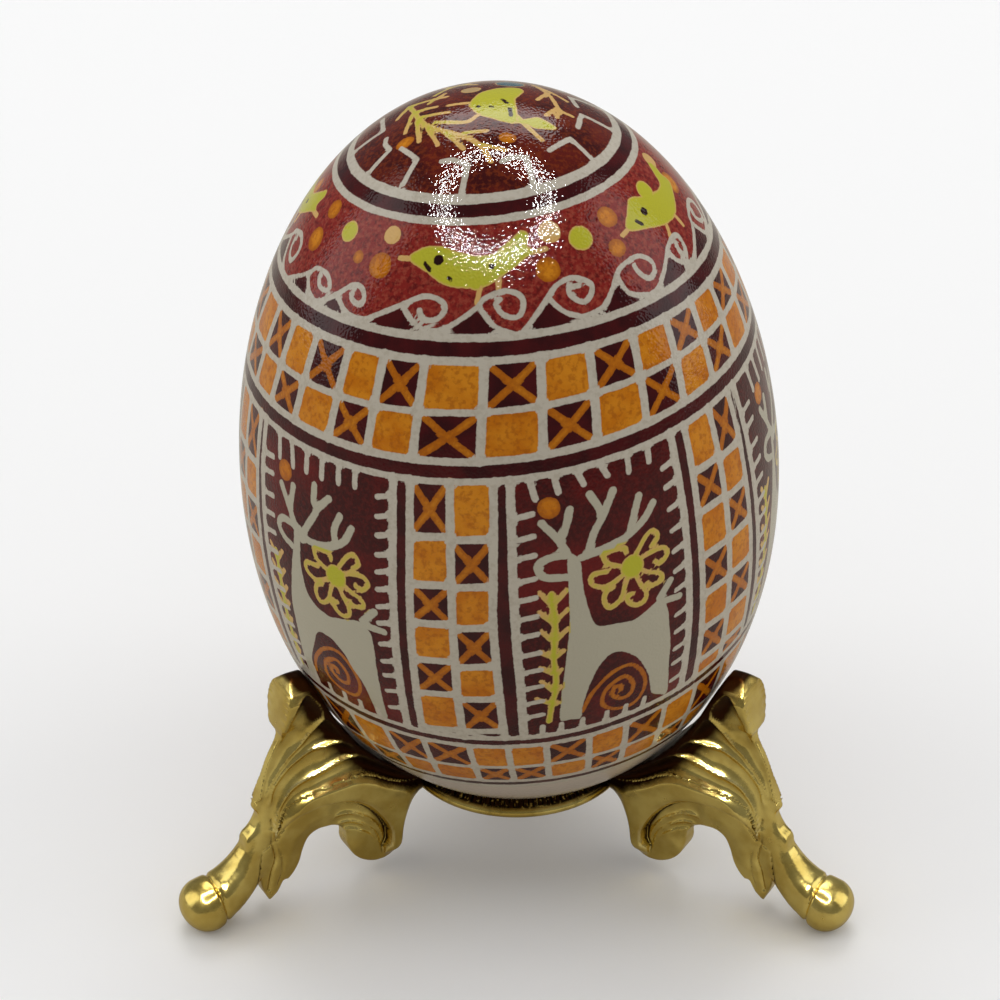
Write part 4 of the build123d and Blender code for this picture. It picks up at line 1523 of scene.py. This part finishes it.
def legEggEdge():
    # the edge under the egg, from the ring to the knob, a gap away from the upright shell
    shares = np.linspace(-0.985, -0.4, 200)
    reach = eggGirth(shares)
    height = legSizes["eggMiddle"] + shares * eggSizes["length"] / 2
    slope = np.gradient(height, reach)
    length = np.sqrt(1.0 + slope ** 2)
    away = np.stack([reach + legSizes["eggGap"] * slope / length, height - legSizes["eggGap"] / length], axis=1)
    wanted = np.linspace(legSizes["ringRadius"] + 0.15, 19.75, 16)
    return np.stack([wanted, np.interp(wanted, away[:, 0], away[:, 1])], axis=1)


def legOutline():
    edge = legEggEdge()
    corners = {name: np.array(places) for name, places in legSizes["corners"].items()}
    parts = [legCurve("outer"), legCurve("shoulder"), corners["tips"]]
    parts += [legCurve(name) for name in ("arch", "boss", "throat")]
    parts += [corners["tenon"], np.array([(legSizes["ringRadius"], edge[0, 1])]), edge]
    return np.vstack([thin(part, 3) if len(part) > 14 else part for part in parts])


def legThickness(points):
    # half the casting's thickness at every point of its plane
    size = legSizes
    curves = {name: thin(legCurve(name)) for name in legLines}
    corners = {name: np.array(places) for name, places in size["corners"].items()}
    distance = {name: lineDistance(points, curve)[0] for name, curve in curves.items()}
    fromEgg, _ = lineDistance(points, legEggEdge())
    reach, height = points[:, 0], points[:, 1]

    def between(*names):
        # large half way between the lines that are named
        return 1.0 / sum(1.0 / np.maximum(distance[name], 0.02) for name in names)

    def within(*runs):
        return insideOutline(points, np.vstack(runs))

    outerHalf = np.interp(height, *np.array(size["outerHalf"]).T)
    base = outerHalf + (size["plateHalf"] - outerHalf) * easeStep(distance["outer"] / size["plateReach"])
    flare = size["eggFlare"] * np.exp(-(fromEgg / size["flareReach"]) ** 2)
    base = base + flare * easeFrom(reach, *size["flareEase"])
    base = base + (size["ringHalf"] - size["plateHalf"]) * easeFrom(reach, *size["ringEase"])
    # flutes between the ridges, shallower towards the egg
    deepest = np.minimum(size["fluteDepth"], size["fluteShare"] * base)
    hollow = between("strip", "ridgeTwo", "ridgeThree", "ridgeFour", "bandTop")
    hollow = deepest * np.tanh(size["fluteSlope"] * hollow / deepest)
    hollow = hollow * easeStep(0.15 + fromEgg / 1.5)
    flutes = base - np.where(within(curves["outer"], curves["strip"][::-1]), 0.0, hollow)
    # the flat under the band, fluted like a fan where the volute turns in
    bevel = size["bevelHalf"] + size["bevelRise"] * easeStep(distance["arch"] / size["bevelReach"])
    # the rounded scroll band, from the knee over the arch and down to the volute
    onBand = within(curves["bandCrease"], curves["bandTop"][::-1], corners["bandRoot"], curves["throat"][::-1])
    toUpper = np.minimum(distance["bandTop"], distance["throat"])
    width = toUpper + distance["bandCrease"]
    crown = 1.0 - (2.0 * (toUpper / np.maximum(width, 1e-6)) - 1.0) ** 2
    band = size["bandEdge"] + (size["bandHalf"] - size["bandEdge"]) * crown * easeStep(width / size["bandNarrow"])
    band = band - size["kneeThinning"] * easeFrom(reach, *size["kneeEase"])
    band = bevel + (band - bevel) * easeFrom(height, *size["voluteEase"])  # the volute closes at its foot
    band = band - size["throatThinning"] * easeFrom(reach, *size["throatEase"])
    fan = between("bandCrease", "fanOne", "fanTwo", "fanThree")
    fan = size["fanDepth"] * np.tanh(size["fanSlope"] * fan / size["fanDepth"])
    crease = curves["bandCrease"]
    inFan = within(crease[crease[:, 0] < corners["fanEnd"][0, 0]], corners["fanEnd"], curves["fanThree"][::-1])
    lower = bevel - fan * np.where(inFan, easeFrom(reach, *size["fanEase"]), 0.0)
    below = ~onBand & within(crease, corners["underBand"])
    made = np.where(onBand, band, np.where(below, lower, flutes))
    for name, (depth, halfWidth) in size["creases"].items():
        made = made - depth * np.exp(-(distance[name] / halfWidth) ** 2)
    made = np.minimum(made, np.interp(height, *np.array(size["topTaper"]).T))
    return np.maximum(made, size["least"])


def wrapSurface(field, low, cell):
    # a skin of four-sided faces round all that is below zero, one point to each cell that it crosses
    shape = np.array(field.shape)
    inside = field < 0.0
    count = np.zeros(shape - 1, dtype=np.int8)
    for a, b, c in np.ndindex(2, 2, 2):
        count += inside[a:shape[0] - 1 + a, b:shape[1] - 1 + b, c:shape[2] - 1 + c]
    mixed = (count > 0) & (count < 8)
    cells = np.argwhere(mixed)
    number = np.full(mixed.shape, -1)
    number[mixed] = np.arange(len(cells))
    total, hits = np.zeros((len(cells), 3)), np.zeros(len(cells))
    for axis in range(3):
        unit = np.eye(3, dtype=int)[axis]
        others = [n for n in range(3) if n != axis]
        for a, b in np.ndindex(2, 2):
            start = np.zeros(3, dtype=int)
            start[others[0]], start[others[1]] = a, b
            first = field[tuple((cells + start).T)]
            second = field[tuple((cells + start + unit).T)]
            crossed = (first < 0.0) != (second < 0.0)
            share = np.where(crossed, first / np.where(crossed, first - second, 1.0), 0.0)
            total += (start + share[:, None] * unit) * crossed[:, None]
            hits += crossed
    places = low + cell * (cells + total / hits[:, None])
    faces = []
    for axis in range(3):
        first, second = (axis + 1) % 3, (axis + 2) % 3
        unit, u, v = np.eye(3, dtype=int)[[axis, first, second]]
        ahead = np.roll(inside, -1, axis)
        changes = inside != ahead
        spots = np.argwhere(changes)
        fits = (spots[:, axis] < shape[axis] - 1) & (spots[:, first] > 0) & (spots[:, second] > 0)
        fits &= (spots[:, first] < shape[first] - 1) & (spots[:, second] < shape[second] - 1)
        spots = spots[fits]
        ring = np.stack([number[tuple((spots - away).T)] for away in (0 * u, u, u + v, v)], axis=1)
        outward = inside[tuple(spots.T)]
        ring[~outward] = ring[~outward][:, ::-1]
        faces.append(ring)
    return places, np.vstack(faces)


def legFoot(grid, away, flat):
    # the stem that widens down to the toe's ball, with the crease behind it
    size = legSizes
    fromPath, spot = lineDistance(grid, thin(throughPoints(size["stem"]), 6))
    fromPath = fromPath.reshape(flat)
    knots = np.linspace(0.0, 1.0, len(size["stemDepths"]))
    deep, wide = [np.interp(spot, knots, size[name]).reshape(flat) for name in ("stemDepths", "stemHalves")]
    power = size["stemPower"]
    stem = ((fromPath / deep) ** power + (away / wide) ** power) ** (1.0 / power) - 1.0
    stem = stem * np.minimum(deep, wide)
    out, up, sideways = size["toeRadii"]
    toeAway = (((grid - np.array(size["toe"])) / (out, up)) ** 2).sum(axis=1).reshape(flat)
    toe = (np.sqrt(toeAway + (away / sideways) ** 2) - 1.0) * up
    place, direction, width, depth = size["toeCrease"]
    crease = np.abs((grid - np.array(place)) @ np.array(direction)).reshape(flat)
    return smoothLeast(stem, toe, size["toeJoin"]) + depth * np.exp(-(crease / width) ** 2)


def legHollows(grid, thickness, edge):
    # how deep a place lies in a hollow, for the darker brown there (partly tarnish, partly painted shade), or below 0
    # on a ridge, for the painted highlight there
    size = legSizes
    blurred = thickness
    for _ in range(size["hollowBlurs"]):
        padded = np.pad(blurred, 1, mode="edge")
        sides = padded[:-2, 1:-1] + padded[2:, 1:-1] + padded[1:-1, :-2] + padded[1:-1, 2:]
        blurred = (sides + 4 * blurred) / 8
    sunk = blurred - thickness
    sunk = np.where(sunk < 0.0, sunk * easeStep(-edge / size["hollowEdge"]), sunk)
    fromEgg, _ = lineDistance(grid, legEggEdge())
    # more brown near the egg: partly tarnish, partly painted shade and a painted reflection of the dark egg
    return sunk + size["eggShadeAndTarnish"] * np.exp(-(fromEgg.reshape(sunk.shape) / size["eggShadeAndTarnishReach"]) ** 2)


def sculptLeg():
    # the leg's skin in millimetres, as (points out, up and sideways; faces; how deep in a hollow)
    size = legSizes
    cell = size["cell"]
    reach, height = [np.arange(*size[name], cell) for name in ("reaches", "heights")]
    depth = np.arange(-size["cellsSideways"], size["cellsSideways"] + 0.5) * cell
    grid = np.stack(np.meshgrid(reach, height, indexing="ij"), axis=-1).reshape(-1, 2)
    flat = (len(reach), len(height), 1)
    away = np.abs(depth)[None, None, :]
    outline = legOutline()
    edge, _ = lineDistance(grid, np.vstack([outline, outline[:1]]))
    edge = np.where(insideOutline(grid, outline), -edge, edge).reshape(flat)
    thickness = legThickness(grid).reshape(flat)
    solid = smoothMost(edge, (away - thickness) * size["slopeShare"], size["edgeRound"])
    solid = smoothLeast(solid, legFoot(grid, away, flat), size["footJoin"])
    solid = smoothMost(solid, -grid[:, 1].reshape(flat), size["soleRound"])
    low = np.array([reach[0], height[0], depth[0]])
    places, faces = wrapSurface(solid, low, cell)
    sunk = legHollows(grid, thickness[:, :, 0], edge[:, :, 0])
    row = np.clip(((places[:, 0] - reach[0]) / cell).astype(int), 0, len(reach) - 1)
    column = np.clip(((places[:, 1] - height[0]) / cell).astype(int), 0, len(height) - 1)
    return places, faces, sunk[row, column]


def makeLegs(material):
    places, faces, sunk = sculptLeg()
    low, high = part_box("cup_ring")
    middle = Vector(((low.x + high.x) / 2, (low.y + high.y) / 2, 0.0))  # the stand's own axis
    for node, angle in legSizes["angles"].items():
        turn = math.radians(angle)
        out = np.array([math.cos(turn), math.sin(turn), 0.0])
        side = np.array([math.sin(turn), -math.cos(turn), 0.0])
        up = np.array([0.0, 0.0, 1.0])
        world = places[:, :1] * out + places[:, 1:2] * up + places[:, 2:] * side
        name = node.replace("leg_", "scroll_leg_")
        mesh = bpy.data.meshes.new(name)
        mesh.from_pydata((world * mm + np.array(middle)).tolist(), [], faces.tolist())
        mesh.polygons.foreach_set("use_smooth", [True] * len(faces))
        mesh.materials.append(material)
        # how deep in a hollow, plus the term near the egg: drives the brass's painted shade and painted ridge
        # highlight
        addNumbers(mesh, "hollow", sunk)
        mesh.update()
        leg = bpy.data.objects.new(name, mesh)
        bpy.context.scene.collection.objects.link(leg)
        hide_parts(node)
        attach(leg, "stand")
        own = turnAboutY((world * mm + np.array(middle) - np.array(eggCentre)) / mm, eggSizes["leanAngle"])
        gap = np.hypot(own[:, 0], own[:, 1]) - eggGirth(own[:, 2] / (eggSizes["length"] / 2))
        print(name, "least gap to the shell, sideways:", round(float(gap[own[:, 2] < 0].min()), 2), "mm")
    print("legs:", len(faces), "faces each")


# the studio

studio = {
    "distance": 228.75,  # camera to the egg's middle, millimetres
    "elevation": 30.0,
    "lens": 102.3,
    "shiftAcross": -0.0085,
    "shiftUp": -0.0528,
    "floor": (246, 246, 246),
    "floorHalf": 2.5,  # metres
    "table": (184, 178, 166),
    "air": 0.6,
    "airInGloss": 0.2,
    "ringLamps": 36,
    "ringLampSize": 0.012,
    "ringLampPower": 0.08,
    "ringMiddle": (-0.012, -0.075, 0.30),  # metres from the egg's middle: to the right, back and up
    "ringRadius": 0.135,
    "lamps": {  # place from the egg's middle, width and height, all in metres, and power
        "over": ((0.0, 0.45, 0.55), (0.5, 0.3), 1.5),
        "left": ((-0.6, 0.05, 0.3), (0.4, 0.6), 0.9),
        "right": ((0.6, 0.05, 0.3), (0.4, 0.6), 0.9),
    },
}


def makeCamera(middle):
    up = math.radians(studio["elevation"])
    camera = bpy.data.objects.new("camera", bpy.data.cameras.new("camera"))
    bpy.context.scene.collection.objects.link(camera)
    camera.location = middle + Vector((0.0, -math.cos(up), math.sin(up))) * studio["distance"] * mm
    camera.rotation_euler = (math.pi / 2 - up, 0.0, 0.0)
    camera.data.lens = studio["lens"]
    camera.data.sensor_width = 36.0
    camera.data.shift_x = studio["shiftAcross"]
    camera.data.shift_y = studio["shiftUp"]
    camera.data.clip_start = 0.01
    camera.data.clip_end = 10.0
    bpy.context.scene.camera = camera


def makeAir():
    # an even light on dye and floor, but dim in the varnish and the brass, as in a dark room
    world = bpy.data.worlds.new("studio_air")
    world.use_nodes = True
    air = world.node_tree
    gloss = addNode(air, "ShaderNodeLightPath", (-600, 0)).outputs["Is Glossy Ray"]
    strength = rampValue(air, gloss, 0.0, 1.0, studio["air"], studio["airInGloss"], (-300, 0))
    air.nodes["Background"].inputs["Color"].default_value = (1.0, 1.0, 1.0, 1.0)
    air.links.new(strength, air.nodes["Background"].inputs["Strength"])
    bpy.context.scene.world = world


def makeFloor():
    # pale to the eye, but a mid grey to the gloss, as the cut-out photograph's table was
    mesh = bpy.data.meshes.new("floor")
    size = studio["floorHalf"]
    mesh.from_pydata([(-size, -size, 0), (size, -size, 0), (size, size, 0), (-size, size, 0)], [], [(0, 1, 2, 3)])
    floor = bpy.data.objects.new("floor", mesh)
    bpy.context.scene.collection.objects.link(floor)
    material, tree, finish = startMaterial("pale_floor")
    seen = addNode(tree, "ShaderNodeLightPath", (0, 200)).outputs["Is Camera Ray"]
    colour = mixColour(tree, seen, paintColour(studio["table"]), paintColour(studio["floor"]), (300, 200))
    tree.links.new(colour, finish.inputs["Base Color"])
    finish.inputs["Roughness"].default_value = 0.9
    mesh.materials.append(material)


def addLamp(name, place, aim, power, sizes):
    # a round lamp of one size, or one with a width and a height
    light = bpy.data.lights.new(name, "AREA")
    light.shape = "DISK" if len(sizes) == 1 else "RECTANGLE"
    light.size = sizes[0]
    if len(sizes) > 1:
        light.size_y = sizes[1]
    light.energy = power
    lamp = bpy.data.objects.new(name, light)
    bpy.context.scene.collection.objects.link(lamp)
    lamp.location = place
    lamp.rotation_euler = (Vector(aim) - Vector(place)).to_track_quat("-Z", "Y").to_euler()
    lamp.visible_camera = False
    return lamp


def makeLamps(middle):
    # a ring of small lamps overhead, which the varnish shows as a bright speckled ring
    across, back, up = studio["ringMiddle"]
    radius = studio["ringRadius"]
    for step in range(studio["ringLamps"]):
        turn = 2 * math.pi * step / studio["ringLamps"]
        place = middle + Vector((across + radius * math.cos(turn), back + radius * math.sin(turn), up))
        lamp = addLamp("ring_%02d" % step, place, middle, studio["ringLampPower"], (studio["ringLampSize"],))
        lamp.visible_diffuse = False
    for name, (place, sizes, power) in studio["lamps"].items():
        addLamp(name, middle + Vector(place), middle, power, sizes)


def makeStudio():
    bpy.context.scene.view_settings.view_transform = "Standard"
    middle = Vector(eggCentre)
    makeCamera(middle)
    makeAir()
    makeFloor()
    makeLamps(middle)
    print("studio:", studio["ringLamps"] + len(studio["lamps"]), "lamps")


egg, aroundMiddle, eggCentre = makeEggMesh(makeShellMaterial())
drawOnShell(egg, aroundMiddle)
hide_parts("egg_shell")
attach(egg, "egg")
print("egg:", len(egg.data.vertices), "points, middle", [round(float(v) / mm, 3) for v in eggCentre])

makeStudio()

for name, material in (("cup_ring", makeRingBrass()), ("hole_plug", makeWax())):
    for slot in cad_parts[name].material_slots:
        slot.material = material
makeLegs(makeBrass("polished_brass")[0])
